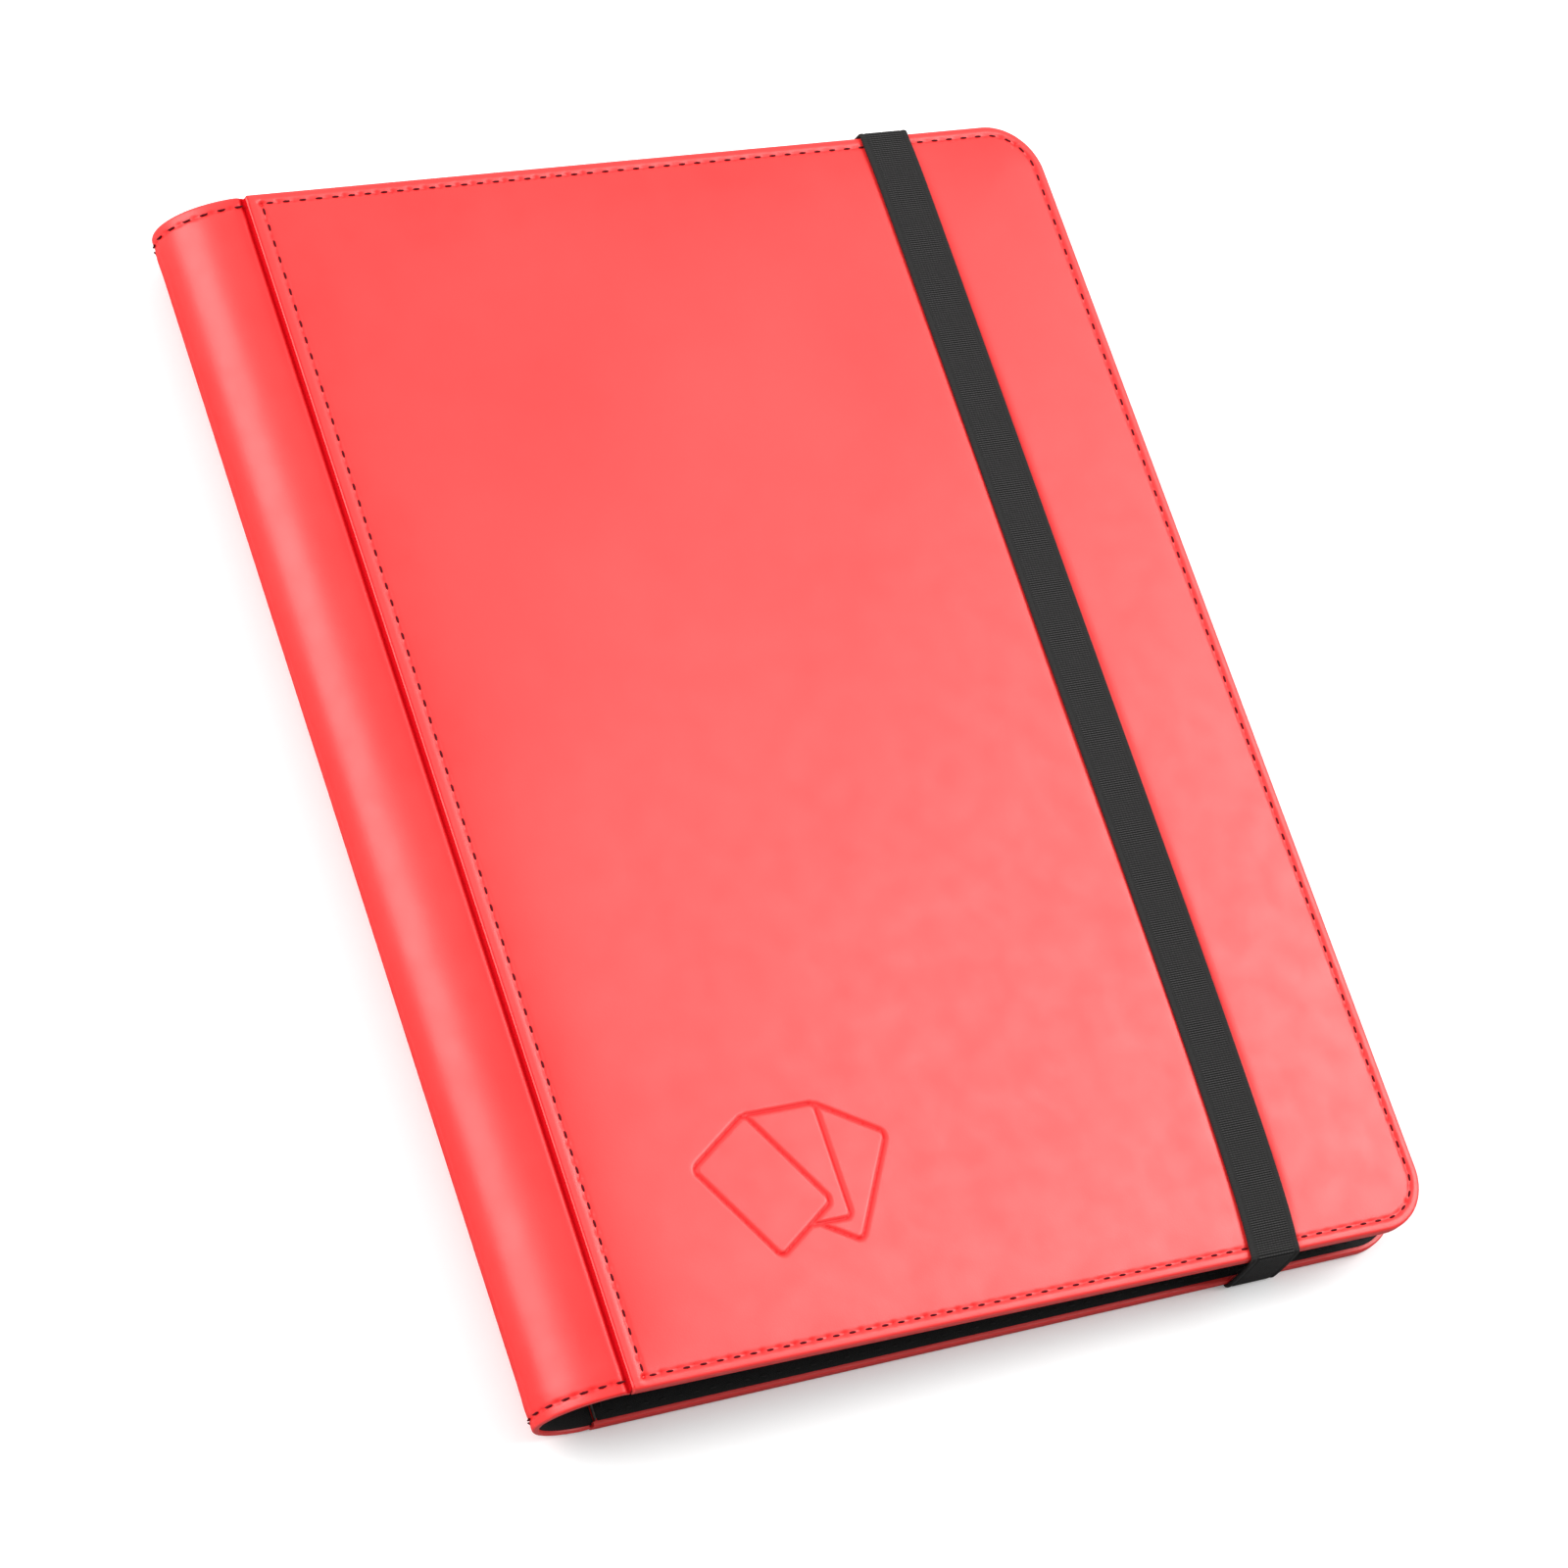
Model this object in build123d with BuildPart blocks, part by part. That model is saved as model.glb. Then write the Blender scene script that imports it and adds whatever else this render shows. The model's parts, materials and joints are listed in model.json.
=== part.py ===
from build123d import *
from math import atan, atan2, cos, degrees, sin, tan
import os

# Trading card binder: two padded covers joined by a rounded soft spine, twenty leaves of side-loading
# pockets bound into that spine, and an elastic strap. Millimetres. It lies closed on its back cover:
# +X runs from the spine to the fore-edge, +Y to the top edge, +Z out of the front cover. The origin is
# the middle of the bottom of the whole object's box.

# Driving dimensions
cover_height = 330.0
cover_width = 241.0
fold_thickness = 31.5
fore_edge_thickness = 19.5
spine_bulge = 20.5
corner_radius = 15.0
leaf_count = 20
pockets_across = 3
pockets_up = 3
pocket_width = 68.0
pocket_height = 95.0
strap_width = 15.0
strap_from_fold = 192.5

# Cover layers, from the outer face inwards
skin_t = 0.7
foam_t = 1.1
board_t = 1.0
lip_t = 0.4
lining_t = 0.4
foam_depth = skin_t
board_depth = foam_depth + foam_t
lip_depth = board_depth + board_t
lining_depth = lip_depth + lip_t
cover_t = lining_depth + lining_t

# Cover details
turn_in = 14.0
lining_inset = 1.3
edge_round = 0.45
hinge_overlap = 8.0
board_inset = 2.0
seam_inset = 3.0
hinge_seam_inset = 4.0
groove_width = 1.1
groove_depth = 0.35
stitch_pitch = 4.7
stitch_length = 3.4
thread_width = 0.6
thread_t = 0.3

# Spine layers, from the outer face inwards. The spine strip sits a step below the covers' outer faces.
ridge_step = 0.8
spine_skin_t = 0.7
stiffener_t = 0.7
spine_lining_t = 0.4
stiffener_depth = spine_skin_t
spine_lining_depth = stiffener_depth + stiffener_t
spine_t = spine_lining_depth + spine_lining_t
spine_lining_reach = 1.2
stiffener_sweep = 150.0
half_turn = 180.0

# Leaves: a core sheet with a pocket film welded to each face
hinge_reach = 13.0
leaf_margin = 5.0
core_t = 0.16
film_t = 0.13
film_gap = 0.01
mouth_from_weld = 3.0
mouth_width = 1.2
mouth_length = 84.0
notch_radius = 7.0

# Binding block inside the spine
block_depth = 7.5
block_front = -0.5
block_clearance = 0.5
hinge_strip_t = 0.3
small_gap = 0.05
wrap_t = 0.8
binding_pitch = 6.0
binding_stitch_length = 4.2
tape_t = 0.6
tape_foot_sweep = 50.0
air_gap = 0.3

# Elastic strap, sunk flush into the back cover's padding at both ends
strap_t = 1.0
strap_clearance = 0.25
strap_seat_margin = 0.5
slit_from_edge = 18.0
slit_width = 1.6
tail_length = 22.0

# Worked out from the above
wedge = atan2(fold_thickness - fore_edge_thickness, cover_width)
lean = wedge / 2
half_fold = fold_thickness / 2
half_height = cover_height / 2
spine_half_height = half_height - skin_t - small_gap
reach_to_spine = spine_bulge * cos(lean) - half_fold * sin(lean)
reach_to_fore_edge = cover_width * cos(wedge) + fold_thickness * sin(lean)
fold_x = (reach_to_spine - reach_to_fore_edge) / 2
strap_seat_width = strap_width + 2 * strap_seat_margin
spine_x = fold_x + half_fold * sin(lean)
spine_z = half_fold * cos(lean)

# A cover's frame starts where the fold meets its outer face: x to the fore-edge, z inwards
back_frame = Plane(origin=(fold_x, 0, 0), x_dir=(1, 0, 0), z_dir=(0, 0, 1))
front_frame = Plane(
    origin=(spine_x + half_fold * sin(lean), 0, spine_z + half_fold * cos(lean)),
    x_dir=(cos(wedge), 0, -sin(wedge)),
    z_dir=(-sin(wedge), 0, -cos(wedge)),
)
# The spine's frame is halfway between the two folds, x along the middle of the wedge, y to the front
spine_frame = Plane(origin=(spine_x, 0, spine_z), x_dir=(cos(lean), 0, -sin(lean)), z_dir=(0, -1, 0))

leaf_width = pockets_across * pocket_width + 2 * leaf_margin
leaf_height = pockets_up * pocket_height + 2 * leaf_margin
film_depth = core_t / 2 + film_gap
leaf_t = 2 * (film_depth + film_t)


def export(piece, name):
    piece.part.label = name
    export_step(piece.part, f"parts/{name}.step")


# ---- Covers -----------------------------------------------------------------------------------------


def cover_outline(inset, start):
    """A cover's shape from start to the fore-edge, with its three free sides pulled in by inset."""
    with BuildSketch(mode=Mode.PRIVATE) as outline:
        with Locations((start, 0)):
            Rectangle(
                cover_width - inset - start,
                cover_height - 2 * inset,
                align=(Align.MIN, Align.CENTER),
            )
        fillet(outline.vertices().group_by(Axis.X)[-1], max(corner_radius - inset, edge_round))
    return outline.sketch


def edge_seam():
    """The stitched path round a cover's three free sides."""
    x = cover_width - seam_inset
    y = half_height - seam_inset
    with BuildLine(mode=Mode.PRIVATE) as path:
        Polyline((hinge_seam_inset, -y), (x, -y), (x, y), (hinge_seam_inset, y))
        fillet(path.vertices().group_by(Axis.X)[-1], corner_radius - seam_inset)
    return path.wire()


def hinge_seam():
    """The stitched path beside the fold, over the cover's full height."""
    y = half_height - seam_inset
    with BuildLine(mode=Mode.PRIVATE) as path:
        Line((hinge_seam_inset, -y), (hinge_seam_inset, y))
    return path.wire()


def stitch_places(path, pitch):
    """Evenly spaced places along a flat path, each turned to the path's direction."""
    count = round(path.length / pitch)
    places = []
    for number in range(count):
        share = (number + 0.5) / count
        point = path.position_at(share)
        direction = path.tangent_at(share)
        turn = degrees(atan2(direction.Y, direction.X))
        places.append(Location((point.X, point.Y, 0), (0, 0, turn)))
    return places


def strap_spots(length, from_edge):
    """Centres of the two areas under the strap's ends, length long and from_edge in from each edge."""
    y = half_height - from_edge - length / 2
    return [(strap_from_fold, y), (strap_from_fold, -y)]


def cover_skin(name, frame, has_strap):
    with BuildPart() as skin:
        with BuildSketch(frame):
            add(cover_outline(0, 0))
        extrude(amount=cover_t)
        outer_face = skin.faces().sort_by(Axis(frame.origin, frame.z_dir))[0]
        fillet(outer_face.edges(), edge_round)
        with BuildSketch(frame.offset(foam_depth)):
            add(cover_outline(skin_t, -skin_t))
        extrude(amount=foam_t + board_t, mode=Mode.SUBTRACT)
        with BuildSketch(frame.offset(lip_depth)):
            add(cover_outline(turn_in, -skin_t))
        extrude(amount=lip_t, mode=Mode.SUBTRACT)
        with BuildSketch(frame.offset(lining_depth)):
            add(cover_outline(lining_inset, -skin_t))
        extrude(amount=lining_t, mode=Mode.SUBTRACT)
        for path in (edge_seam(), hinge_seam()):
            with BuildSketch(frame):
                trace(path, groove_width)
            extrude(amount=groove_depth, mode=Mode.SUBTRACT)
        if has_strap:
            with BuildSketch(frame):
                with Locations(*strap_spots(slit_from_edge, skin_t / 2)):
                    Rectangle(strap_seat_width, slit_from_edge)
            extrude(amount=board_depth)
            with BuildSketch(frame):
                with Locations(*strap_spots(slit_from_edge, 0)):
                    Rectangle(strap_seat_width, slit_from_edge)
            extrude(amount=strap_t + small_gap, mode=Mode.SUBTRACT)
            with BuildSketch(frame):
                with Locations(*strap_spots(slit_width, slit_from_edge)):
                    Rectangle(strap_seat_width, slit_width)
            extrude(amount=board_depth, mode=Mode.SUBTRACT)
    export(skin, name)


def cover_foam(name, frame, has_strap):
    with BuildPart() as foam:
        with BuildSketch(frame.offset(foam_depth)):
            add(cover_outline(skin_t, hinge_overlap))
            if has_strap:
                run = slit_from_edge + slit_width + tail_length
                with Locations(*strap_spots(run, 0)):
                    Rectangle(strap_seat_width, run, mode=Mode.SUBTRACT)
        extrude(amount=foam_t)
    export(foam, name)


def cover_board(name, frame):
    with BuildPart() as board:
        with BuildSketch(frame.offset(board_depth)):
            add(cover_outline(skin_t, board_inset))
        extrude(amount=board_t)
    export(board, name)


def cover_lining(name, frame):
    """The inside lining: it covers the skin's turned-in lip and is pressed down to the board inside it."""
    with BuildPart() as lining:
        with BuildSketch(frame.offset(lip_depth)):
            add(cover_outline(turn_in, board_inset))
        extrude(amount=lip_t)
        with BuildSketch(frame.offset(lining_depth)):
            add(cover_outline(lining_inset, board_inset))
        extrude(amount=lining_t)
    export(lining, name)


def clear_of_strap(place):
    return abs(place.position.X - strap_from_fold) > (strap_seat_width + stitch_length) / 2


def seam_threads(name, frame, path, has_strap):
    """A row of stitches along a path. It breaks off where the strap is sunk into the cover."""
    places = stitch_places(path, stitch_pitch)
    if has_strap:
        places = filter(clear_of_strap, places)
    with BuildPart() as threads:
        with BuildSketch(frame.offset(groove_depth - thread_t)):
            with Locations(*places):
                SlotOverall(stitch_length, thread_width)
        extrude(amount=thread_t)
    export(threads, name)


def cover(side, frame, has_strap):
    cover_skin(f"{side}_cover_skin", frame, has_strap)
    cover_foam(f"{side}_cover_foam", frame, has_strap)
    cover_board(f"{side}_cover_board", frame)
    cover_lining(f"{side}_cover_lining", frame)
    seam_threads(f"{side}_cover_stitching", frame, edge_seam(), has_strap)
    seam_threads(f"{side}_hinge_stitching", frame, hinge_seam(), has_strap)


# ---- Spine ------------------------------------------------------------------------------------------


def spine_arc(depth, sweep):
    """The spine's half-oval at a depth below its outer face, sweep degrees of it about its apex."""
    return EllipticalCenterArc(
        (0, 0),
        spine_bulge - depth,
        half_fold - ridge_step - depth,
        start_angle=half_turn - sweep / 2,
        arc_size=sweep,
    )


def spine_band(depth, thickness, sweep, reach):
    """A layer of the spine seen from its end, running on by reach along each cover."""
    with BuildSketch(mode=Mode.PRIVATE) as band:
        with BuildLine():
            outer = spine_arc(depth, sweep)
            inner = spine_arc(depth + thickness, sweep)
            for end, side in ((0, 1), (1, -1)):
                step = Vector(reach * cos(lean), -side * reach * sin(lean))
                if reach:
                    Line(outer @ end, (outer @ end) + step)
                    Line(inner @ end, (inner @ end) + step)
                Line((outer @ end) + step, (inner @ end) + step)
        make_face()
    return band.sketch


def spine_skin():
    with BuildPart() as skin:
        with BuildSketch(spine_frame):
            add(spine_band(0, spine_skin_t, half_turn, hinge_overlap - air_gap))
        extrude(amount=spine_half_height, both=True)
        for row in (1, -1):
            with BuildSketch(spine_frame.offset(row * (half_height - seam_inset))):
                add(spine_band(0, groove_depth, half_turn, 0))
            extrude(amount=groove_width / 2, both=True, mode=Mode.SUBTRACT)
    export(skin, "spine_skin")


def spine_stiffener():
    with BuildPart() as stiffener:
        with BuildSketch(spine_frame):
            add(spine_band(stiffener_depth, stiffener_t, stiffener_sweep, 0))
        extrude(amount=spine_half_height - seam_inset, both=True)
    export(stiffener, "spine_stiffener")


def spine_lining():
    with BuildPart() as lining:
        with BuildSketch(spine_frame):
            add(spine_band(spine_lining_depth, spine_lining_t, half_turn, spine_lining_reach))
        extrude(amount=spine_half_height, both=True)
    export(lining, "spine_lining")


def spine_stitching():
    with BuildLine(mode=Mode.PRIVATE) as path:
        spine_arc(groove_depth - thread_t / 2, half_turn)
    with BuildPart() as threads:
        for row in (1, -1):
            level = spine_frame.offset(row * (half_height - seam_inset))
            for place in stitch_places(path.wire(), stitch_pitch):
                with Locations(level.location * place):
                    Box(stitch_length, thread_t, thread_width)
    export(threads, "spine_stitching")


# ---- Leaves and their binding -----------------------------------------------------------------------


def inner_half_gap(x):
    """Half the space between the two covers' inner faces, at x in the spine's frame."""
    return half_fold - cover_t / cos(lean) - x * tan(lean)


def leaf_pitch(x):
    """The leaves' spacing at x in the spine's frame: they fill the space between the covers."""
    return 2 * (inner_half_gap(x) - air_gap - leaf_t / 2) / (leaf_count - 1)


block_back = block_front - block_depth
block_ratio = (1 - (block_back / (spine_bulge - spine_t)) ** 2) ** 0.5
block_half = (half_fold - ridge_step - spine_t) * block_ratio - wrap_t - block_clearance
block_pitch = (2 * block_half - hinge_strip_t) / leaf_count
root_pitch = leaf_pitch(hinge_reach)
tip_pitch = leaf_pitch(hinge_reach + leaf_width)


def level_of(number):
    """How many spacings leaf number lies above the middle of the block. Leaf 1 is next to the front cover."""
    return (leaf_count + 1) / 2 - number


def leaf_frame(number):
    """A leaf's mid-plane, from its root by the binding to its fore-edge."""
    root = spine_frame.from_local_coords(Vector(hinge_reach, level_of(number) * root_pitch, 0))
    droop = lean + atan(level_of(number) * (root_pitch - tip_pitch) / leaf_width)
    return Plane(
        origin=root,
        x_dir=(cos(droop), 0, -sin(droop)),
        z_dir=(sin(droop), 0, cos(droop)),
    )


def pocket_mouth():
    """A pocket's side-loading mouth, with a thumb notch on the pocket's side of it."""
    with BuildSketch(mode=Mode.PRIVATE) as mouth:
        Circle(notch_radius)
        split(bisect_by=Plane.YZ)
        Rectangle(mouth_width, mouth_length)
    return mouth.sketch


def leaf(number):
    middle = leaf_frame(number)
    middle_mouth = leaf_margin + mouth_from_weld + (pockets_across - 1) * pocket_width / 2
    with BuildPart() as sheets:
        with BuildSketch(middle):
            Rectangle(leaf_width, leaf_height, align=(Align.MIN, Align.CENTER))
        extrude(amount=core_t / 2, both=True)
        for face in (film_depth, -film_depth - film_t):
            with BuildSketch(middle.offset(face)):
                Rectangle(leaf_width, leaf_height, align=(Align.MIN, Align.CENTER))
                with Locations((middle_mouth, 0)):
                    with GridLocations(pocket_width, pocket_height, pockets_across, pockets_up):
                        add(pocket_mouth(), mode=Mode.SUBTRACT)
            extrude(amount=film_t)
    export(sheets, f"leaf_{number:02d}")


def leaf_hinge_strips():
    with BuildPart() as strips:
        for number in range(1, leaf_count + 1):
            level = level_of(number)
            with BuildSketch(spine_frame):
                with BuildLine() as strip:
                    Polyline(
                        (block_back, level * block_pitch),
                        (block_front, level * block_pitch),
                        (hinge_reach - small_gap, level * root_pitch),
                    )
                trace(strip.wire(), hinge_strip_t)
            extrude(amount=leaf_height / 2, both=True)
    export(strips, "leaf_hinge_strips")


def binding_spacers():
    spacer_t = block_pitch - hinge_strip_t - small_gap
    with BuildPart() as spacers:
        with BuildSketch(spine_frame):
            with Locations(((block_back + block_front) / 2, 0)):
                with GridLocations(0, block_pitch, 1, leaf_count - 1):
                    Rectangle(block_depth, spacer_t)
        extrude(amount=leaf_height / 2, both=True)
    export(spacers, "binding_spacers")


def binding_wrap():
    with BuildPart() as wrap:
        with BuildSketch(spine_frame):
            with Locations((block_front, 0)):
                Rectangle(
                    block_depth + wrap_t,
                    2 * (block_half + wrap_t),
                    align=(Align.MAX, Align.CENTER),
                )
                Rectangle(block_depth, 2 * block_half, align=(Align.MAX, Align.CENTER), mode=Mode.SUBTRACT)
        extrude(amount=leaf_height / 2, both=True)
    export(wrap, "binding_wrap")


def binding_anchor_tape():
    apex = -(spine_bulge - spine_t - tape_t / 2)
    with BuildPart() as tape:
        with BuildSketch(spine_frame):
            add(spine_band(spine_t, tape_t, tape_foot_sweep, 0))
            with Locations((apex, 0)):
                Rectangle(block_back - wrap_t - apex, tape_t, align=(Align.MIN, Align.CENTER))
        extrude(amount=leaf_height / 2, both=True)
    export(tape, "binding_anchor_tape")


def binding_stitching():
    count = round(leaf_height / binding_pitch) - 1
    surface = block_half + wrap_t + thread_t / 2
    middle = (block_back + block_front) / 2
    with BuildPart() as threads:
        for side in (surface, -surface):
            with BuildSketch(spine_frame):
                with Locations((middle, side)):
                    Rectangle(thread_width, thread_t)
            for number in range(count):
                centre = (number - (count - 1) / 2) * binding_pitch
                with Locations(spine_frame.location * Location((middle, side, centre))):
                    Box(thread_width, thread_t, binding_stitch_length)
    export(threads, "binding_stitching")


# ---- Elastic strap ----------------------------------------------------------------------------------


def front_level(x):
    """Height of the middle of the strap's thickness where it crosses the front cover at x."""
    return front_frame.origin.Z - (x - front_frame.origin.X) * tan(wedge) + strap_clearance + strap_t / 2


def elastic_strap():
    outside = half_height + strap_clearance + strap_t
    strap_x = fold_x + strap_from_fold
    end_length = outside - half_height + slit_from_edge + slit_width
    with BuildPart() as strap:
        # across the front cover, on its slope
        with BuildSketch(front_frame.offset(-strap_clearance)):
            with Locations((strap_from_fold, 0)):
                Rectangle(strap_width, 2 * outside)
        extrude(amount=-strap_t)
        # down past each edge to the back cover
        for side in (1, -1):
            with BuildSketch(Plane.XZ.offset(side * (outside - strap_t / 2))):
                with BuildLine():
                    left, right = strap_x - strap_width / 2, strap_x + strap_width / 2
                    Polyline(
                        (left, 0),
                        (right, 0),
                        (right, front_level(right)),
                        (left, front_level(left)),
                        close=True,
                    )
                make_face()
            extrude(amount=strap_t / 2, both=True)
        # in under the back cover to the slits
        with BuildSketch(back_frame):
            with Locations(*[(strap_from_fold, side * (outside - end_length / 2)) for side in (1, -1)]):
                Rectangle(strap_width, end_length)
        extrude(amount=strap_t)
        # the tails, through the slits and laid on the board
        with BuildSketch(back_frame.offset(board_depth - strap_t)):
            with Locations(*strap_spots(slit_width + tail_length, slit_from_edge)):
                Rectangle(strap_width, slit_width + tail_length)
        extrude(amount=strap_t)
    export(strap, "elastic_strap")


os.makedirs("parts", exist_ok=True)
cover("front", front_frame, has_strap=False)
cover("back", back_frame, has_strap=True)
spine_skin()
spine_stiffener()
spine_lining()
spine_stitching()
for leaf_number in range(1, leaf_count + 1):
    leaf(leaf_number)
leaf_hinge_strips()
binding_spacers()
binding_wrap()
binding_anchor_tape()
binding_stitching()
elastic_strap()
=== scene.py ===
import json
from itertools import product
from math import cos, pi, radians, sin

import bmesh
import bpy
import numpy as np
from mathutils import Matrix, Quaternion, Vector

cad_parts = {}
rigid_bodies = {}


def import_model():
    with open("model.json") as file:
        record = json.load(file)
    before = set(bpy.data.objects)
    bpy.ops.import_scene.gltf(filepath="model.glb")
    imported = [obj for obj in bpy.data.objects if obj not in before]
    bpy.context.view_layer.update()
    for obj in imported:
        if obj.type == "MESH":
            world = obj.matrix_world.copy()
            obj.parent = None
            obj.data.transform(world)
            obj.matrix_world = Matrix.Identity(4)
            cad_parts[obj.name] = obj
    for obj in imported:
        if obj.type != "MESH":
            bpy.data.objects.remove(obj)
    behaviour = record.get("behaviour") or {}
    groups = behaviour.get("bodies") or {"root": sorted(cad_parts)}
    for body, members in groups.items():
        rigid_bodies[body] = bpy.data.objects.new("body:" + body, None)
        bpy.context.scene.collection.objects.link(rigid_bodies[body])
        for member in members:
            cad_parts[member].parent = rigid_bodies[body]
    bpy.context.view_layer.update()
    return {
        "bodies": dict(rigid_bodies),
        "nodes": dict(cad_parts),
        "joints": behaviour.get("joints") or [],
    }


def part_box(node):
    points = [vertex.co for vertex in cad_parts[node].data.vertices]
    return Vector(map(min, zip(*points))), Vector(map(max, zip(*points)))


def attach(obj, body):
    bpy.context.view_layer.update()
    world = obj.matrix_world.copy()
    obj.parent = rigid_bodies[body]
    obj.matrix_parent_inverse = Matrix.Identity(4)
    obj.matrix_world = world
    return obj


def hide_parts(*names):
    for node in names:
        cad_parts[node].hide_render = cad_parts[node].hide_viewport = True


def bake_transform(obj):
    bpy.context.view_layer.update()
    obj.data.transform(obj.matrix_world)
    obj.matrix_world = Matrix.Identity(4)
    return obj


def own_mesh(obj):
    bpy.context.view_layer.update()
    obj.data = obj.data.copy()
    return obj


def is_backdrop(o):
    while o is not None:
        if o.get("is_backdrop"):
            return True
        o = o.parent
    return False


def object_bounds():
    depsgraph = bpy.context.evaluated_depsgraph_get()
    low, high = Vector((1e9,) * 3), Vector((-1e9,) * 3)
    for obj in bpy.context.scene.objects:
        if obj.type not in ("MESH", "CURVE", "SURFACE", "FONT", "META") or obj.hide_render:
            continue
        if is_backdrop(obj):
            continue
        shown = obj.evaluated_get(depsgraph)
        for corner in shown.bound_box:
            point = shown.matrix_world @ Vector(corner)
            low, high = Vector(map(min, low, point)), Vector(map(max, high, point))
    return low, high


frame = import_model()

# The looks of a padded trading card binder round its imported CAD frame. Sizes here are in millimetres in each
# part's own flat or curved coordinates; Frame.at turns them into metres in the shared frame.

joints = {joint["name"]: joint for joint in frame["joints"]}
MM = 0.001
TINY = 1e-6
Y_AXIS = np.array([0.0, 1.0, 0.0])

# ---- Places taken from the frame ----


class Frame:
    """A local frame: at(u, v, d) is the point u along the first axis, v along Y and d along the last axis."""

    def __init__(self, origin, across, inward):
        self.origin = np.array(origin, float)
        self.across = np.array(across, float)
        self.inward = np.array(inward, float)

    def at(self, u, v, d):
        u, v, d = np.broadcast_arrays(np.asarray(u, float), v, d)
        steps = (u[..., None] * self.across + v[..., None] * Y_AXIS + d[..., None] * self.inward) * MM
        return self.origin + steps

    def local(self, points):
        """The u and d of points given in metres."""
        offset = (points - self.origin) / MM
        return offset @ self.across, offset @ self.inward


def node_points(node):
    mesh = frame["nodes"][node].data
    flat = np.empty(3 * len(mesh.vertices))
    mesh.vertices.foreach_get("co", flat)
    return flat.reshape(-1, 3)


def half_length(node):
    """How far a CAD node reaches along Y from the middle."""
    return node_points(node)[:, 1].max() / MM


def depths(node):
    """The least and greatest depth of a CAD node under the back cover's outer face."""
    depth = back.local(node_points(node))[1]
    return depth.min(), depth.max()


def unit(vector):
    return vector / np.linalg.norm(vector)


back_low, back_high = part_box("back_cover_skin")
back_pivot = np.array(joints["spine_opening"]["pos_m"])
front_pivot = np.array(joints["front_cover_opening"]["pos_m"])
spine_up = unit(front_pivot - back_pivot)
spine_across = np.cross(Y_AXIS, spine_up)
spine = Frame(joints["leaf_01_turn"]["pos_m"], spine_across, spine_up)
back = Frame((back_low.x, 0, back_low.z), (1, 0, 0), (0, 0, 1))


def mirrored(vector):
    """The front cover is the back cover's mirror image in the spine's middle plane."""
    return vector - 2 * (vector @ spine_up) * spine_up


front = Frame(
    spine.origin + mirrored(back.origin - spine.origin), mirrored(back.across), mirrored(back.inward)
)

cover_width = (back_high.x - back_low.x) / MM
half_height = back_high.y / MM
cover_t = (back_high.z - back_low.z) / MM
foam_low, foam_high = depths("back_cover_foam")
board_high = depths("back_cover_board")[1]
spine_u, spine_w = spine.local(node_points("spine_skin"))
spine_bulge = -spine_u.min()
spine_half = spine_w.max()
leaf_half = half_length("leaf_01")
leaf_names = [name for name in frame["bodies"] if name.startswith("leaf_")]
strap_left, strap_right = (corner.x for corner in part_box("elastic_strap"))
strap_skew = 0.6
strap_width = (strap_right - strap_left) / MM - strap_skew
strap_u = ((strap_left + strap_right) / 2 - back_low.x) / MM

# ---- Measures of the leather work ----

corner_radius = 15.0
turn_in = 14.0
clearance = 0.05
skin_t = foam_low + clearance
lip_t = 0.4
lip_depth = board_high + clearance
lining_depth = lip_depth + lip_t
lining_inset = 1.3
rim_round = 0.9
fold_round = 0.37

seam = 3.0
hinge_seam = 4.0
stitch_pitch = 4.7
stitch_length = 2.35
thread_width = 0.56
thread_groove = 0.6
needle_hole = 0.75

swell_width = 6.5
front_swell = 1.2
back_swell = 0.3

seat_half = strap_width / 2 + 0.8
seat_length = 18.0
slit_width = 1.6
seat_depth = 1.05
tail_length = 22.0

# ---- Mesh building ----


def build_mesh(name, points, faces, materials, uv=None, crease=40, painted_shade=None):
    """A closed mesh with outward normals. uv is a place per point, in millimetres, for its materials, and the
    last argument is painted shade for each of the first points, 0 to 1, which darkens their colour to stand
    for shade in creases."""
    mesh = bpy.data.meshes.new(name)
    mesh.from_pydata(points.reshape(-1, 3).tolist(), [], faces)
    # Painted shade: stored as the point attribute 'groove', which darkens the leather's colour in creases
    if painted_shade is not None:
        values = np.zeros(len(mesh.vertices), np.float32)
        values[: painted_shade.size] = painted_shade.ravel()
        mesh.attributes.new("groove", "FLOAT", "POINT").data.foreach_set("value", values)
    if uv is not None:
        layer = mesh.uv_layers.new(name="flat")
        corners = np.empty(len(mesh.loops), int)
        mesh.loops.foreach_get("vertex_index", corners)
        layer.data.foreach_set("uv", (uv.reshape(-1, 2)[corners] * MM).ravel())
    work = bmesh.new()
    work.from_mesh(mesh)
    bmesh.ops.remove_doubles(work, verts=work.verts, dist=TINY)
    bmesh.ops.recalc_face_normals(work, faces=work.faces)
    work.to_mesh(mesh)
    work.free()
    mesh.shade_smooth()
    mesh.set_sharp_from_angle(angle=radians(crease))
    for material in materials:
        mesh.materials.append(material)
    thing = bpy.data.objects.new(name, mesh)
    bpy.context.scene.collection.objects.link(thing)
    return thing


def stands_for(piece, node, body=None):
    """Shows a piece in place of a CAD node. A piece with no body is left without a parent."""
    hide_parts(node)
    if body:
        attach(piece, body)


def grid_faces(rows, columns, first=0, wrap=False):
    """Quads over a grid of points stored row by row. wrap joins the last column back to the first."""
    faces = []
    for row in range(rows - 1):
        for column in range(columns if wrap else columns - 1):
            after = (column + 1) % columns
            start = first + row * columns
            faces.append((start + column, start + after, start + columns + after, start + columns + column))
    return faces


def border(rows, columns):
    """The numbers of a grid's border points, in order round it."""
    index = np.arange(rows * columns).reshape(rows, columns)
    return np.concatenate([index[:-1, 0], index[-1, :-1], index[:0:-1, -1], index[0, :0:-1]])


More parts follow.
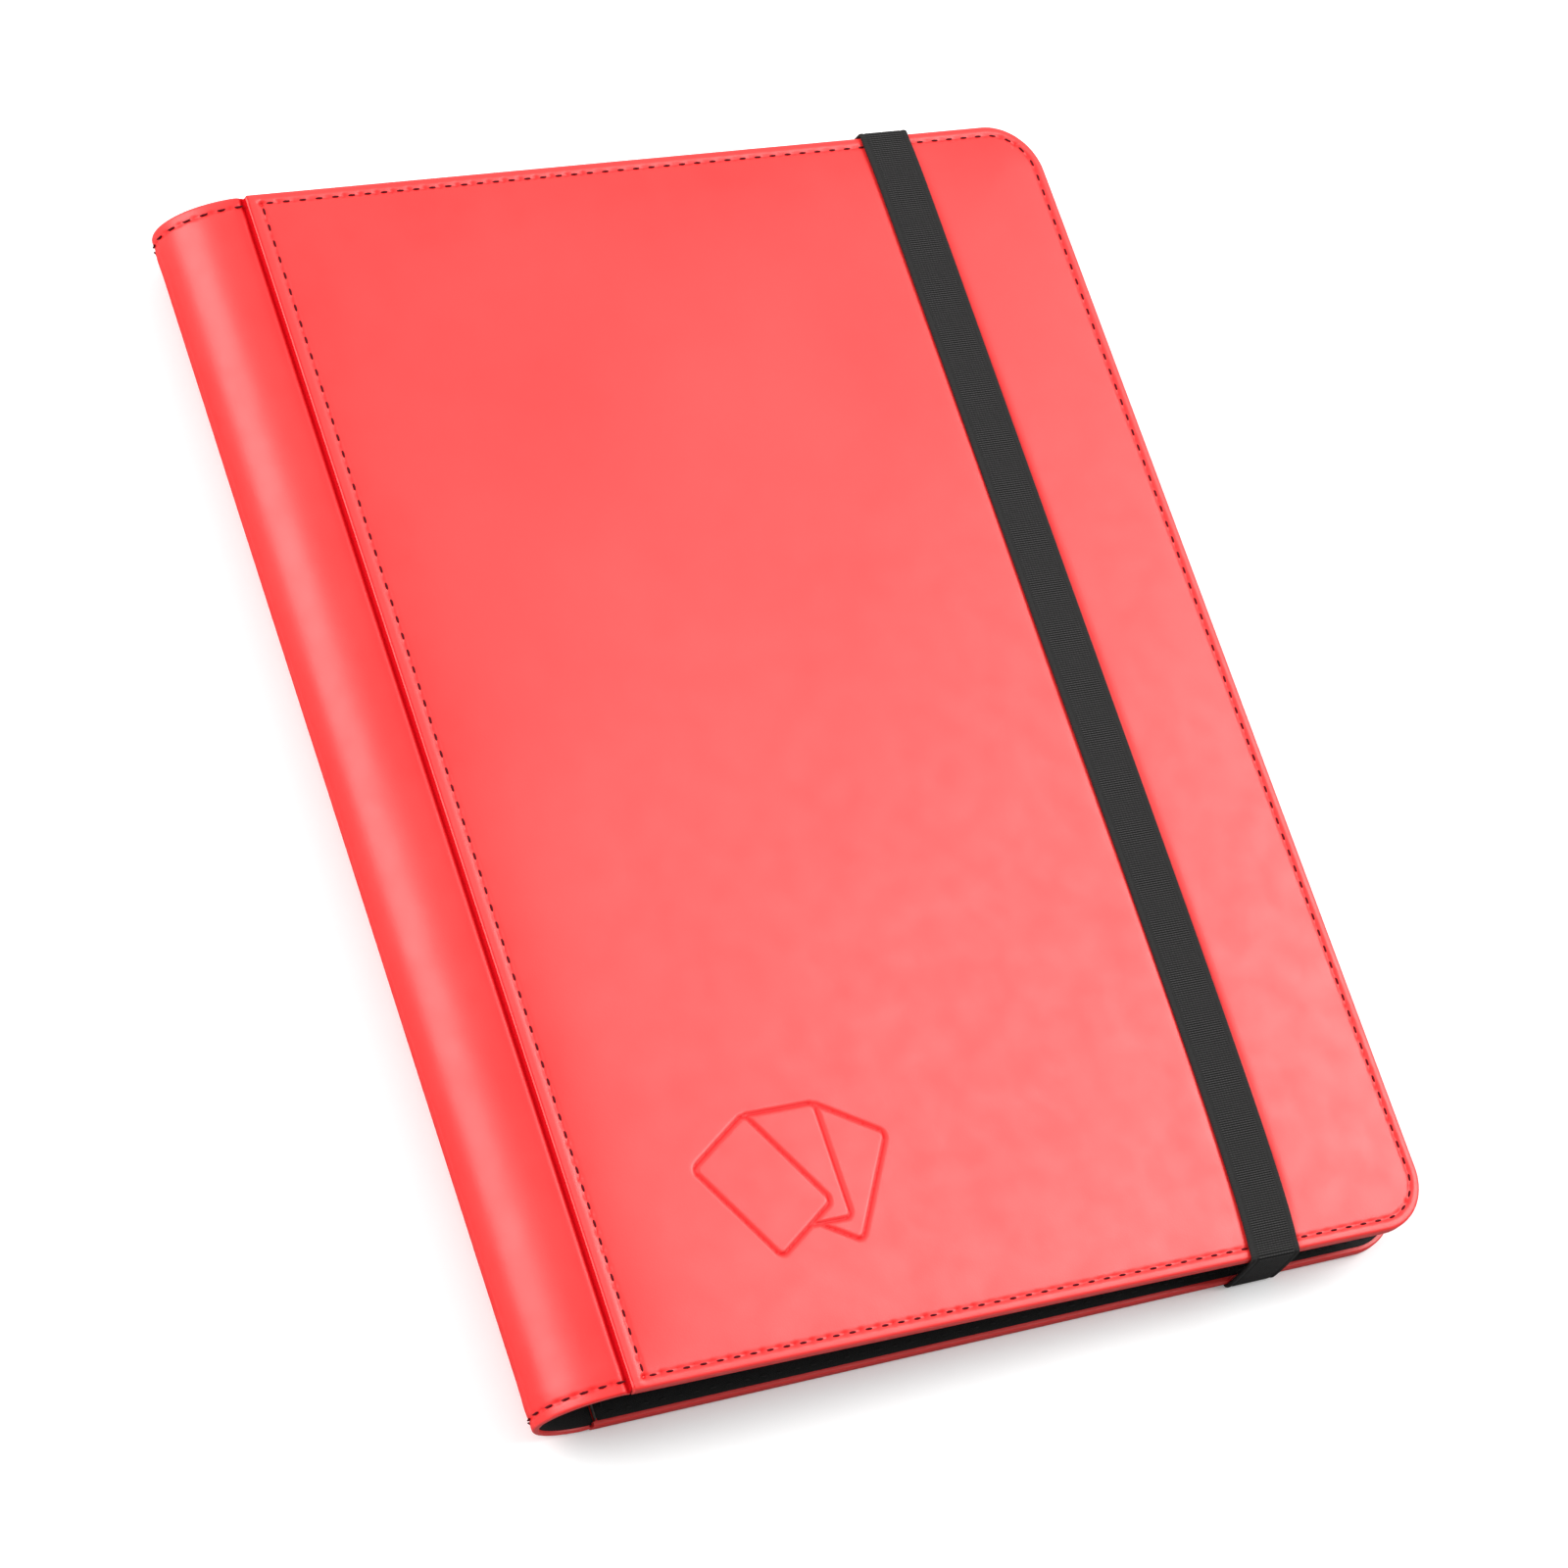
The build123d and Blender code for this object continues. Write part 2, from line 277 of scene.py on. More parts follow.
def slab_faces(rows, columns):
    """Faces of a slab: a grid, a second grid behind it whose points follow, and the edge between them."""
    count = rows * columns
    loop = border(rows, columns).tolist()
    faces = grid_faces(rows, columns)
    faces += [tuple(reversed(face)) for face in grid_faces(rows, columns, count)]
    return faces + [(a, a + count, b + count, b) for a, b in zip(loop, loop[1:] + loop[:1])]


def loft(name, loops, materials, uv=None, crease=40, painted_shade=None):
    """A solid through a row of closed loops, with a flat cap at each end."""
    rows, columns = loops.shape[:2]
    faces = grid_faces(rows, columns, wrap=True)
    faces.append(tuple(range(columns)))
    faces.append(tuple(range((rows - 1) * columns, rows * columns)))
    return build_mesh(name, loops, faces, materials, uv, crease, painted_shade)


def flat_map(first, second):
    return np.stack(np.broadcast_arrays(first, second), -1)


def mirrored_section(half):
    """A closed section from its half with a first coordinate from 0 up to its end and back to 0."""
    return np.array(half + [(-v, d) for v, d in reversed(half[1:-1])])


def sheet_section(end, thickness):
    """A thin sheet's section: out to end each way, with softly pointed ends."""
    near = thickness / 2
    return mirrored_section([(0, near), (end - near, near), (end, 0), (end - near, -near), (0, -near)])


def path_lengths(path):
    """How far along a path each of its points is."""
    return np.concatenate([[0], np.cumsum(np.linalg.norm(np.diff(path, axis=0), axis=1))])


def path_normals(path):
    """Unit normals of a path in two coordinates, to its left."""
    direction = np.gradient(path, axis=0)
    direction /= np.linalg.norm(direction, axis=1, keepdims=True)
    return np.stack([-direction[:, 1], direction[:, 0]], -1)


def quarter(steps=5):
    return [pi / 2 * step / steps for step in range(1, steps + 1)]


def spread(start, end, step):
    return np.linspace(start, end, max(1, round(abs(end - start) / step)) + 1)


def joined(*lines):
    return np.unique(np.round(np.concatenate(lines), 4))


def runs(start, *ends):
    """Places from start on, in runs that are each given as (end, step)."""
    lines = []
    for end, step in ends:
        lines.append(spread(start, end, step))
        start = end
    return joined(*lines)


def middles(count, pitch, start=0.0):
    """The middles of a run of stitches."""
    return start + (np.arange(count) + 0.5) * pitch


def bump_at(distance, width):
    return np.exp(-((distance / width) ** 2))


def rise(distance, width):
    """0 up to a distance of 0, then rising towards 1 over width."""
    return 1 - np.exp(-np.maximum(distance, 0) / width)


def step_at(distance, softness):
    steepest = 40
    return 1 / (1 + np.exp(-np.clip(distance / softness, -steepest, steepest)))


# ---- Cover panels ----


def past_corner(x, y, radius=corner_radius, inset=0.0):
    """How far a place lies past the centre of the nearest fore-edge corner, each way."""
    return x - (cover_width - inset - radius), np.abs(y) - (half_height - inset - radius)


def rounded(u, v, inset):
    """Square coordinates turned into places on a sheet whose two fore-edge corners are round."""
    radius = corner_radius - inset
    p, q = np.maximum(past_corner(u, v, radius, inset), 0)
    longest = np.hypot(p, q)
    scale = np.where(longest > 0, np.maximum(p, q) / np.where(longest > 0, longest, 1), 1)
    in_corner = (p > 0) & (q > 0)
    x = np.where(in_corner, cover_width - inset - radius + p * scale, u)
    y = np.where(in_corner, np.sign(v) * (half_height - inset - radius + q * scale), v)
    return x, y


def edge_distance(x, y):
    """How far a place on a cover lies inside its three free edges."""
    p, q = past_corner(x, y)
    straight = np.minimum(cover_width - x, half_height - np.abs(y))
    return np.where((p > 0) & (q > 0), corner_radius - np.hypot(p, q), straight)


def panel(name, where, inset, fold_at, lines, depth_of, rim, material, painted_shade_of=None):
    """A sheet over a cover. Its seen face is a grid at depth_of(x, y); rim is the edge's section, each step
    (free edge's inset, its depth, fold edge's place, its depth). The sheet is closed by a flat far face."""
    x, y = rounded(*np.meshgrid(*lines, indexing="ij"), inset)
    rows, columns = x.shape
    loop = border(rows, columns)
    bx, by = x.ravel()[loop], y.ravel()[loop]
    on_fold = bx < fold_at + TINY
    at_end = np.abs(by) > half_height - inset - TINY
    p, q = np.maximum(past_corner(bx, by), 0)
    length = np.maximum(np.hypot(p, q), TINY**2)
    straight_end = at_end & (p <= 0)
    nx = np.where(straight_end, 0, p / length)
    ny = np.where(straight_end, np.sign(by), np.sign(by) * q / length)
    side_of_fold = on_fold & ~at_end
    points = [where.at(x, y, depth_of(x, y)).reshape(-1, 3)]
    uv = [flat_map(x, y).reshape(-1, 2)]
    sunk = depth_of(bx, by)
    for free_inset, free_depth, fold_place, fold_depth in rim:
        out = inset - np.minimum(free_inset, np.maximum(lining_inset, bx))
        rx = np.where(on_fold, fold_place, bx + nx * out)
        ry = np.where(side_of_fold, by, by + ny * out)
        rd = np.where(side_of_fold, fold_depth, free_depth)
        if painted_shade_of and free_depth < lip_depth:
            rd = np.maximum(rd, sunk)
        points.append(where.at(rx, ry, rd))
        uv.append(flat_map(rx + nx * free_depth, ry + ny * free_depth))
    count = len(loop)
    rings = [loop] + [rows * columns + number * count + np.arange(count) for number in range(len(rim))]
    faces = grid_faces(rows, columns)
    for outer, inner in zip(rings, rings[1:]):
        faces += np.stack([outer, np.roll(outer, -1), np.roll(inner, -1), inner], -1).tolist()
    faces.append(rings[-1].tolist())
    # Painted shade in creases for each grid point, if the panel has any
    painted_shade = painted_shade_of(x, y) if painted_shade_of else None
    return build_mesh(name, np.concatenate(points), faces, [material], np.concatenate(uv), painted_shade=painted_shade)


def leather_rim():
    """From the outer face round the edge, in over the rim, under the lining and back to the padding."""
    low_round = 0.6
    under_lining = lining_depth - 0.03
    lip_end = turn_in - 1
    rim = []
    for a in quarter():
        rim.append((rim_round * (1 - sin(a)), rim_round * (1 - cos(a)),
                    fold_round * (1 - sin(a)), fold_round * (1 - cos(a))))
    for a in [0.0] + quarter():
        rim.append((low_round * (1 - cos(a)), cover_t - low_round * (1 - sin(a)),
                    fold_round * (1 - cos(a)), fold_round + fold_round * sin(a)))
    for inset, depth in (
        (lining_inset - clearance, cover_t), (lining_inset, under_lining), (lip_end, under_lining),
        (lip_end, lip_depth), (skin_t, lip_depth), (skin_t, skin_t),
    ):
        rim.append((inset, depth, fold_round, 2 * fold_round))
    return rim


def whole_stitches(length):
    """How many stitches fit a run, and their pitch."""
    count = round(length / stitch_pitch)
    return count, length / count


# The stitching path: straight runs along the ends and the fore-edge, and a quarter circle at each corner
run_v = half_height - corner_radius
hinge_run = half_height - seam
seam_radius = corner_radius - seam
stitches_u, pitch_u = whole_stitches(cover_width - corner_radius - hinge_seam)
stitches_v, pitch_v = whole_stitches(2 * run_v)
hinge_count, pitch_hinge = whole_stitches(2 * hinge_run)
corner_count, pitch_corner = whole_stitches(seam_radius * pi / 2)


def to_nearest(along, start, pitch):
    """Distance to the nearest needle hole, with holes every pitch from start."""
    holes = (along - start) / pitch + 0.5
    return np.abs(holes - np.floor(holes) - 0.5) * pitch


def hole_distance(x, y):
    p, q = past_corner(x, y)
    around = np.arctan2(np.maximum(q, 0), np.maximum(p, TINY)) * seam_radius
    nearer_end = half_height - np.abs(y) < cover_width - x
    straight = np.where(nearer_end, to_nearest(x, hinge_seam, pitch_u), to_nearest(y, -run_v, pitch_v))
    return np.where((p > 0) & (q > 0), to_nearest(around, 0, pitch_corner), straight)


def thread_line(distance, to_hole):
    """The depth of a stitched groove: shallow along the thread, deeper at the needle holes."""
    thread_depth, hole_depth = 0.2, 0.3
    return bump_at(distance, thread_groove) * (thread_depth + hole_depth * bump_at(to_hole, needle_hole))


def seams_depth(x, y):
    edge = edge_distance(x, y)
    softness = 0.2
    edge_line = thread_line(edge - seam, hole_distance(x, y)) * step_at(x - hinge_seam + 1, softness)
    hinge_line = thread_line(x - hinge_seam, to_nearest(y, -hinge_run, pitch_hinge))
    return edge_line + hinge_line * step_at(edge - seam + 0.3, softness)


def strap_seat(x, y):
    """How deep the strap's recess in the back cover's padding is at a place."""
    softness, slit_softness = 0.12, 0.1
    slit_sink = 0.5
    across = step_at(seat_half - np.abs(x - strap_u), softness)
    from_end = half_height - np.abs(y)
    seat = step_at(seat_length + slit_width - from_end, softness)
    slit = step_at(slit_width / 2 - np.abs(from_end - seat_length - slit_width / 2), slit_softness)
    return across * (seat_depth * seat + slit_sink * slit)


def strap_centre(y):
    """The strap runs a little askew over the front cover, pulled most towards the spine at the bottom."""
    shift, slope = 0.4, 0.006
    pull, pull_reach = 2.4, 30
    return strap_u + shift + slope * y - pull * np.exp(-(y + half_height) / pull_reach)


# A small blocked ornament of three fanned blank cards, pressed into the front cover
fan_u = 62.0
fan_v = -half_height + 27.0
card_width = 22.0
card_height = 31.0
card_corner = 2.0
fan_angles = (-32.0, 0.0, 32.0)
fan_reach = 20.0
line_width = 0.42
ornament_depth = 0.5


def card_distance(x, y, turn):
    """Signed distance to the outline of one fanned card."""
    c, s = cos(radians(turn)), sin(radians(turn))
    p = (x - fan_u) * c + (y - fan_v) * s
    q = -(x - fan_u) * s + (y - fan_v) * c - fan_reach
    dx = np.abs(p) - card_width / 2 + card_corner
    dy = np.abs(q) - card_height / 2 + card_corner
    outside = np.hypot(np.maximum(dx, 0), np.maximum(dy, 0))
    return outside + np.minimum(np.maximum(dx, dy), 0) - card_corner


def ornament(x, y):
    """The cards' lines, 0 to 1. Each card hides the lines of the cards before it."""
    hidden_round = 1.2 * line_width
    line_softness, gap_softness = 0.12, 0.1
    drawn = np.zeros_like(x)
    for turn in fan_angles:
        distance = card_distance(x, y, turn)
        drawn = drawn * step_at(distance - hidden_round, gap_softness)
        drawn = np.maximum(drawn, step_at(line_width - np.abs(distance), line_softness))
    return drawn


# ---- The padding's swell ----


def inflated_pad(cell=7.0, thickness=2.0, last_frame=20, smoothing=8):
    """A closed flat pad the size of the stitched panel, blown up as cloth with its border and underside held.
    Returns the lift of its upper side as a grid over the panel, 0 to 1."""
    columns = round((cover_width - hinge_seam - seam) / cell) + 1
    rows = round(2 * hinge_run / cell) + 1
    u, v = np.meshgrid(np.arange(columns) * cell, np.arange(rows) * cell, indexing="ij")
    top = np.stack([u, v, np.full_like(u, thickness)], -1).reshape(-1, 3) * MM
    bottom = top * (1, 1, 0)
    count = len(top)
    pad = build_mesh("pad", np.concatenate([top, bottom]), slab_faces(columns, rows), [])
    held = pad.vertex_groups.new(name="held")
    held.add(border(columns, rows).tolist() + list(range(count, 2 * count)), 1.0, "REPLACE")
    cloth = pad.modifiers.new("cloth", "CLOTH")
    cloth.settings.vertex_group_mass = "held"
    cloth.settings.use_pressure = True
    cloth.settings.uniform_pressure_force = 4.0
    cloth.settings.tension_stiffness = 20
    cloth.settings.bending_stiffness = 2
    cloth.settings.effector_weights.gravity = 0
    cloth.point_cache.frame_end = last_frame
    for number in range(1, last_frame + 1):
        bpy.context.scene.frame_set(number)
    shaped = pad.evaluated_get(bpy.context.evaluated_depsgraph_get()).to_mesh()
    lift = np.array([vertex.co.z for vertex in shaped.vertices][:count]).reshape(u.shape)
    bpy.context.scene.frame_set(1)
    bpy.data.objects.remove(pad)
    lift = np.clip(lift - thickness * MM, 0, None)
    for _ in range(smoothing):
        lift[1:-1, 1:-1] = (lift[:-2, 1:-1] + lift[2:, 1:-1] + lift[1:-1, :-2] + lift[1:-1, 2:]) / 4
    return lift / lift.max()


def sampled(grid, x, y):
    """A grid over the stitched panel read at places between its points."""
    gu = np.clip((x - hinge_seam) / (cover_width - hinge_seam - seam), 0, 1) * (grid.shape[0] - 1)
    gv = np.clip((y + hinge_run) / (2 * hinge_run), 0, 1) * (grid.shape[1] - 1)
    i = np.minimum(gu.astype(int), grid.shape[0] - 2)
    j = np.minimum(gv.astype(int), grid.shape[1] - 2)
    fu, fv = gu - i, gv - j
    low = grid[i, j] * (1 - fu) + grid[i + 1, j] * fu
    high = grid[i, j + 1] * (1 - fu) + grid[i + 1, j + 1] * fu
    return low * (1 - fv) + high * fv


padding_lift = inflated_pad()


def swell(x, y):
    """The padding's crown, 0 at the seams to about 1. The foam is thin, so it levels off near them."""
    seam_half = 0.3
    edge_crown = rise(edge_distance(x, y) - seam - seam_half, swell_width)
    crown = edge_crown * rise(x - hinge_seam - seam_half, swell_width)
    if padding_lift is None:
        return crown
    blown_share = 0.25
    return crown * (1 - blown_share + blown_share * rise(sampled(padding_lift, x, y), blown_share))


def dents(x, y):
    """Slight unevenness of soft padding, as two slow waves with no common rhythm."""
    return 0.5 * np.sin(x / 31 + 1.3 * np.sin(y / 47)) * np.sin(y / 39 + 0.8) + 0.5 * np.sin(x / 17 - y / 26)


def leather_depth(x, y, crown):
    """The outer face: seams pressed in, the padding's crown, and a slight roll outside each seam."""
    edge_height, edge_place, edge_width = 0.12, 1.9, 0.9
    hinge_height, hinge_place, hinge_width = 0.1, 2.2, 1.0
    unevenness, softness = 0.12, 0.12
    edge = edge_distance(x, y)
    edge_roll = edge_height * bump_at(edge - edge_place, edge_width)
    hinge_roll = hinge_height * bump_at(x - hinge_place, hinge_width)
    puffed = swell(x, y) * crown * (1 + unevenness * dents(x, y))
    return seams_depth(x, y) - (edge_roll + hinge_roll) * step_at(edge - rim_round, softness) - puffed


def front_depth(x, y):
    """The front's padding gives way under the strap."""
    give, beside, softness = 0.45, 0.4, 0.5
    under_strap = step_at(strap_width / 2 + beside - np.abs(x - strap_centre(y)), softness)
    pressed = give * front_swell * under_strap * swell(x, y)
    return leather_depth(x, y, front_swell) + pressed + ornament_depth * ornament(x, y)


def back_depth(x, y):
    seat = strap_seat(x, y)
    return leather_depth(x, y, back_swell) * (1 - seat / seat_depth).clip(0, 1) + seat


def back_painted_shade(x, y):
    """Painted shade in the creases, 0 to 1: along the seams and at the fold."""
    seam_shade, fold_shade, fold_width = 0.9, 0.8, 0.3
    return np.clip(seam_shade * seams_depth(x, y) + fold_shade * bump_at(x - fold_round, fold_width), 0, 1)


def front_painted_shade(x, y):
    """The front has painted shade too, in its ornament's pressed lines and beside the strap."""
    ornament_shade, strap_shade, strap_shade_width = 0.75, 0.5, 0.5
    beside_strap = np.abs(np.abs(x - strap_centre(y)) - strap_width / 2)
    shade = ornament_shade * ornament(x, y) + strap_shade * bump_at(beside_strap, strap_shade_width)
    return np.clip(back_painted_shade(x, y) + shade, 0, 1)


def with_fine(lines, fine):
    """Grid lines with some stretches, given as (start, end, step), drawn closer together."""
    for start, end, step in fine:
        lines = joined(lines[(lines < start) | (lines > end)], spread(start, end, step))
    return lines


def cover_lines(fine_u, fine_v):
    """Grid lines over a cover: close together by the seams, one per quarter stitch elsewhere."""
    band, close = 9.0, 0.36
    step_u, step_v = pitch_u / 4, pitch_v / 4
    corner = cover_width - corner_radius
    between = spread(hinge_seam, corner, step_u)
    low = runs(rim_round - half_height, (band - half_height, close), (-run_v, step_v))
    u = joined(spread(fold_round, band, close), between[between > band],
               runs(corner, (cover_width - band, step_u), (cover_width - rim_round, close)))
    return with_fine(u, fine_u), with_fine(joined(low, spread(-run_v, run_v, step_v), -low), fine_v)


# ---- Materials ----


def grey(value, blue=0.0):
    return (value, value, value + blue, 1)


class Nodes:
    """Adds nodes to a node tree. place is where the textures are read."""

    def __init__(self, tree, place=None):
        self.tree = tree
        self.place = place

    def feed(self, socket, value):
        if isinstance(value, bpy.types.NodeSocket):
            self.tree.links.new(value, socket)
        else:
            socket.default_value = value

    def add(self, kind, settings=None, **inputs):
        node = self.tree.nodes.new(kind)
        for key, value in (settings or {}).items():
            setattr(node, key, value)
        for key, value in inputs.items():
            self.feed(node.inputs[key.replace("_", " ")], value)
        return node

    def noise(self, cell, detail=2.0, rough=0.5):
        """Cloudy values with patches about cell millimetres across."""
        scale = 1 / (cell * MM)
        node = self.add("ShaderNodeTexNoise", Vector=self.place, Scale=scale, Detail=detail, Roughness=rough)
        return node.outputs["Fac"]

    def cells(self, size, **settings):
        scale = 1 / (size * MM)
        return self.add("ShaderNodeTexVoronoi", settings, Vector=self.place, Scale=scale).outputs["Distance"]

    def ramp(self, value, low, high, out_low=0.0, out_high=1.0):
        limits = {"From_Min": low, "From_Max": high, "To_Min": out_low, "To_Max": out_high}
        return self.add("ShaderNodeMapRange", Value=value, **limits).outputs["Result"]

    def between(self, value, least, greatest):
        """Spreads a noise's usual range from least to greatest."""
        return self.ramp(value, 0.3, 0.7, least, greatest)

    def mix(self, share, first, second):
        """Blends two colours. The node's colour sockets can only be told apart by their numbers."""
        node = self.add("ShaderNodeMix", {"data_type": "RGBA"})
        for number, value in ((0, share), (6, first), (7, second)):
            self.feed(node.inputs[number], value)
        return node.outputs[2]

    def maths(self, operation, first, second=0.0):
        node = self.add("ShaderNodeMath", {"operation": operation})
        for socket, value in zip(node.inputs, (first, second)):
            self.feed(socket, value)
        return node.outputs[0]

    def times(self, first, second):
        return self.maths("MULTIPLY", first, second)

    def plus(self, first, second):
        return self.maths("ADD", first, second)

    def rest_of(self, share):
        return self.maths("SUBTRACT", 1.0, share)

    def wave(self, along, pitch):
        """A sine wave with a pitch in millimetres."""
        return self.maths("SINE", self.times(along, 2 * pi / (pitch * MM)))

    def bump(self, height, depth, strength=1.0, under=None):
        """A bump of depth millimetres, on top of another bump if given."""
        node = self.add("ShaderNodeBump", Height=height, Distance=depth * MM, Strength=strength)
        if under is not None:
            self.tree.links.new(under, node.inputs["Normal"])
        return node.outputs["Normal"]


class Look(Nodes):
    """A material. Its textures follow the piece's flat map, or its object space if it has no map."""

    def __init__(self, name, mapped=True):
        self.material = bpy.data.materials.new(name)
        self.material.use_nodes = True
        super().__init__(self.material.node_tree)
        self.shader = self.tree.nodes["Principled BSDF"]
        if mapped:
            self.place = self.add("ShaderNodeUVMap", {"uv_map": "flat"}).outputs["UV"]
        else:
            self.place = self.add("ShaderNodeTexCoord").outputs["Object"]

    def across_and_along(self):
        parts = self.add("ShaderNodeSeparateXYZ", Vector=self.place)
        return parts.outputs["X"], parts.outputs["Y"]

    def finish(self, **inputs):
        for key, value in inputs.items():
            self.feed(self.shader.inputs[key.replace("_", " ")], value)
        return self.material


def red_leather():
    """Smooth coated leather with a painted highlight on its rounded edges and painted shade in its creases,
    matt at a grazing view.
    """
    look = Look("red_leather")
    clouds = look.ramp(look.noise(cell=60, detail=3), 0.35, 0.65)
    # Painted highlight: outward-rounded edges are made paler, as if they catch the light
    edge_highlight = look.ramp(look.add("ShaderNodeNewGeometry").outputs["Pointiness"], 0.51, 0.58)
    # Painted shade: the per-point groove value darkens the colour in creases, seams and pressed lines
    groove = look.add("ShaderNodeAttribute", {"attribute_name": "groove"}).outputs["Fac"]
    red = look.mix(clouds, (0.84, 0.022, 0.021, 1), (0.88, 0.03, 0.028, 1))
    highlighted_red = look.mix(look.times(edge_highlight, 0.35), red, (0.95, 0.09, 0.085, 1))
    shaded_red = look.mix(look.times(groove, 0.8), highlighted_red, (0.5, 0.0, 0.006, 1))
    pores = look.ramp(look.cells(size=0.8, feature="DISTANCE_TO_EDGE"), 0, 0.15)
    grain = look.noise(cell=0.45, detail=3, rough=0.6)
    normal = look.bump(look.noise(cell=14, detail=3), depth=0.12, strength=0.5)
    normal = look.bump(pores, depth=0.012, strength=0.5, under=normal)
    normal = look.bump(grain, depth=0.016, strength=0.6, under=normal)
    grazing = look.add("ShaderNodeLayerWeight").outputs["Facing"]
    shine = look.times(look.rest_of(groove), look.ramp(grazing, 0.4, 0.85, 1.0, 0.12))
    return look.finish(
        Base_Color=shaded_red,
        Roughness=look.between(look.noise(cell=9, detail=4), 0.36, 0.46),
        Normal=normal,
        Coat_Roughness=0.3,
        Coat_Weight=look.times(shine, 0.12),
        Specular_IOR_Level=look.times(shine, 0.5),
    )


def woven(name, dark, light, pitch, depth, sheen):
    """Plain weave: two crossed sets of threads with slight unevenness."""
    look = Look(name)
    across, along = look.across_and_along()
    weave = look.ramp(look.times(look.wave(across, pitch), look.wave(along, pitch)), -1, 1)
    fuzz = look.noise(cell=0.25, detail=4)
    return look.finish(
        Base_Color=look.mix(look.times(weave, fuzz), dark, light),
        Roughness=look.between(fuzz, 0.77, 0.9),
        Normal=look.bump(look.plus(weave, look.times(fuzz, 0.5)), depth),
        Sheen_Weight=sheen,
    )


def elastic_webbing():
    """Knitted elastic: cross ribs broken into small stitches, with smoother cords along both edges, their
    raised tops painted lighter as a highlight.
    """
    look = Look("elastic")
    cord_width = 2.1
    along, across = look.across_and_along()
    ribs = look.wave(along, pitch=0.62)
    wales = look.wave(across, pitch=0.85)
    middle = look.maths("LESS_THAN", look.maths("ABSOLUTE", across), (strap_width / 2 - cord_width) * MM)
    knit = look.times(look.ramp(ribs, -0.6, 1), look.ramp(wales, -1, 0.4, 0.6, 1))
    knit = look.times(knit, middle)
    cord = look.times(look.ramp(ribs, -1, 1, 0.3, 0.5), look.rest_of(middle))
    fuzz = look.noise(cell=0.2, detail=4)
    height = look.plus(look.plus(knit, cord), look.times(fuzz, 0.35))
    # Painted highlight: the raised knit and the cords are coloured lighter
    light = look.times(look.plus(knit, look.times(cord, 0.8)), fuzz)
    return look.finish(
        Base_Color=look.mix(look.ramp(light, 0.02, 0.55), grey(0.005), (0.065, 0.063, 0.062, 1)),
        Roughness=look.between(fuzz, 0.72, 0.88),
        Normal=look.bump(height, depth=0.16),
        Specular_IOR_Level=0.15,
    )


def sewing_thread(name, dark, light, shine):
    look = Look(name, mapped=False)
    fibres = look.noise(cell=0.12, detail=4)
    return look.finish(
        Base_Color=look.mix(fibres, dark, light),
        Roughness=look.between(fibres, 0.55, 0.75),
        Normal=look.bump(fibres, depth=0.05),
        Specular_IOR_Level=shine,
    )


def plastic(name, dark, light, rough, grain_depth, coat=0.0):
    """Sheet plastic with slow streaks and a fine grain."""
    look = Look(name)
    streaks = look.noise(cell=22, detail=5, rough=0.6)
    waves = look.bump(streaks, depth=0.25, strength=0.6)
    return look.finish(
        Base_Color=look.mix(streaks, dark, light),
        Roughness=look.between(look.noise(cell=6, detail=5), rough * 0.8, rough * 1.25),
        Normal=look.bump(look.noise(cell=0.5, detail=3), grain_depth, under=waves),
        Coat_Weight=coat,
        Coat_Roughness=rough / 2,
    )


def fibre_board():
    """Grey board: speckled recycled fibre, used on the CAD's own boards and spacers."""
    look = Look("greyboard", mapped=False)
    flecks = look.noise(cell=0.7, detail=6, rough=0.7)
    return look.finish(
        Base_Color=look.mix(look.ramp(flecks, 0.35, 0.65), (0.3, 0.29, 0.27, 1), (0.5, 0.48, 0.45, 1)),
        Roughness=look.between(flecks, 0.85, 0.95),
        Normal=look.bump(flecks, depth=0.06),
    )


def foam_rubber():
    look = Look("padding")
    cells = look.cells(size=0.5)
    return look.finish(
        Base_Color=look.mix(look.ramp(cells, 0.1, 0.7), (0.8, 0.79, 0.74, 1), (0.55, 0.53, 0.48, 1)),
        Roughness=look.ramp(cells, 0, 1, 0.85, 0.97),
        Normal=look.bump(cells, depth=-0.2),
    )


leather = red_leather()
lining = woven("black_lining", grey(0.004), grey(0.016, blue=0.001), pitch=0.7, depth=0.1, sheen=0.04)
hinge_cloth = woven(
    "hinge_fabric", grey(0.009, blue=0.001), grey(0.03, blue=0.002), pitch=0.9, depth=0.06, sheen=0.05
)
elastic = elastic_webbing()
red_thread = sewing_thread("thread", (0.05, 0.002, 0.004, 1), (0.12, 0.005, 0.01, 1), shine=0.1)
black_thread = sewing_thread("black_thread", grey(0.008), grey(0.04), shine=0.25)
stiffener_sheet = plastic("stiffener", grey(0.03), grey(0.05), rough=0.5, grain_depth=0.03)
pocket_core = plastic(
    "leaf_core", grey(0.008, blue=0.001), grey(0.014, blue=0.001), rough=0.5, grain_depth=0.03
)
pocket_film = plastic(
    "pocket_film", grey(0.026, blue=0.003), grey(0.04, blue=0.005), rough=0.13, grain_depth=0.004, coat=0.8
)
board = fibre_board()
foam = foam_rubber()

# ---- Covers ----


def stitch(place, direction, side, length=stitch_length):
    """Points of one two-ply stitch with its ends sunk in. place is on the surface, direction along the seam
    and side out of it."""
    rings, sides = 7, 6
    proud, buried, ply = 0.1, 0.32, 0.14
    across = np.cross(direction, side)
    t = np.linspace(-1, 1, rings)[:, None]
    angle = np.linspace(0, 2 * pi, sides, endpoint=False)[None, :]
    taper = np.sqrt(np.maximum(1 - np.abs(t) ** 5, 0.02))
    radius = thread_width / 2 * taper * (1 + ply * np.cos(2 * angle - 5 * t))
    height = proud - buried * np.abs(t) ** 3
    offset = (
        (t * length / 2)[..., None] * direction
        + (radius * np.cos(angle))[..., None] * across
        + (radius * np.sin(angle) + height)[..., None] * side
    )
    return place + offset * MM


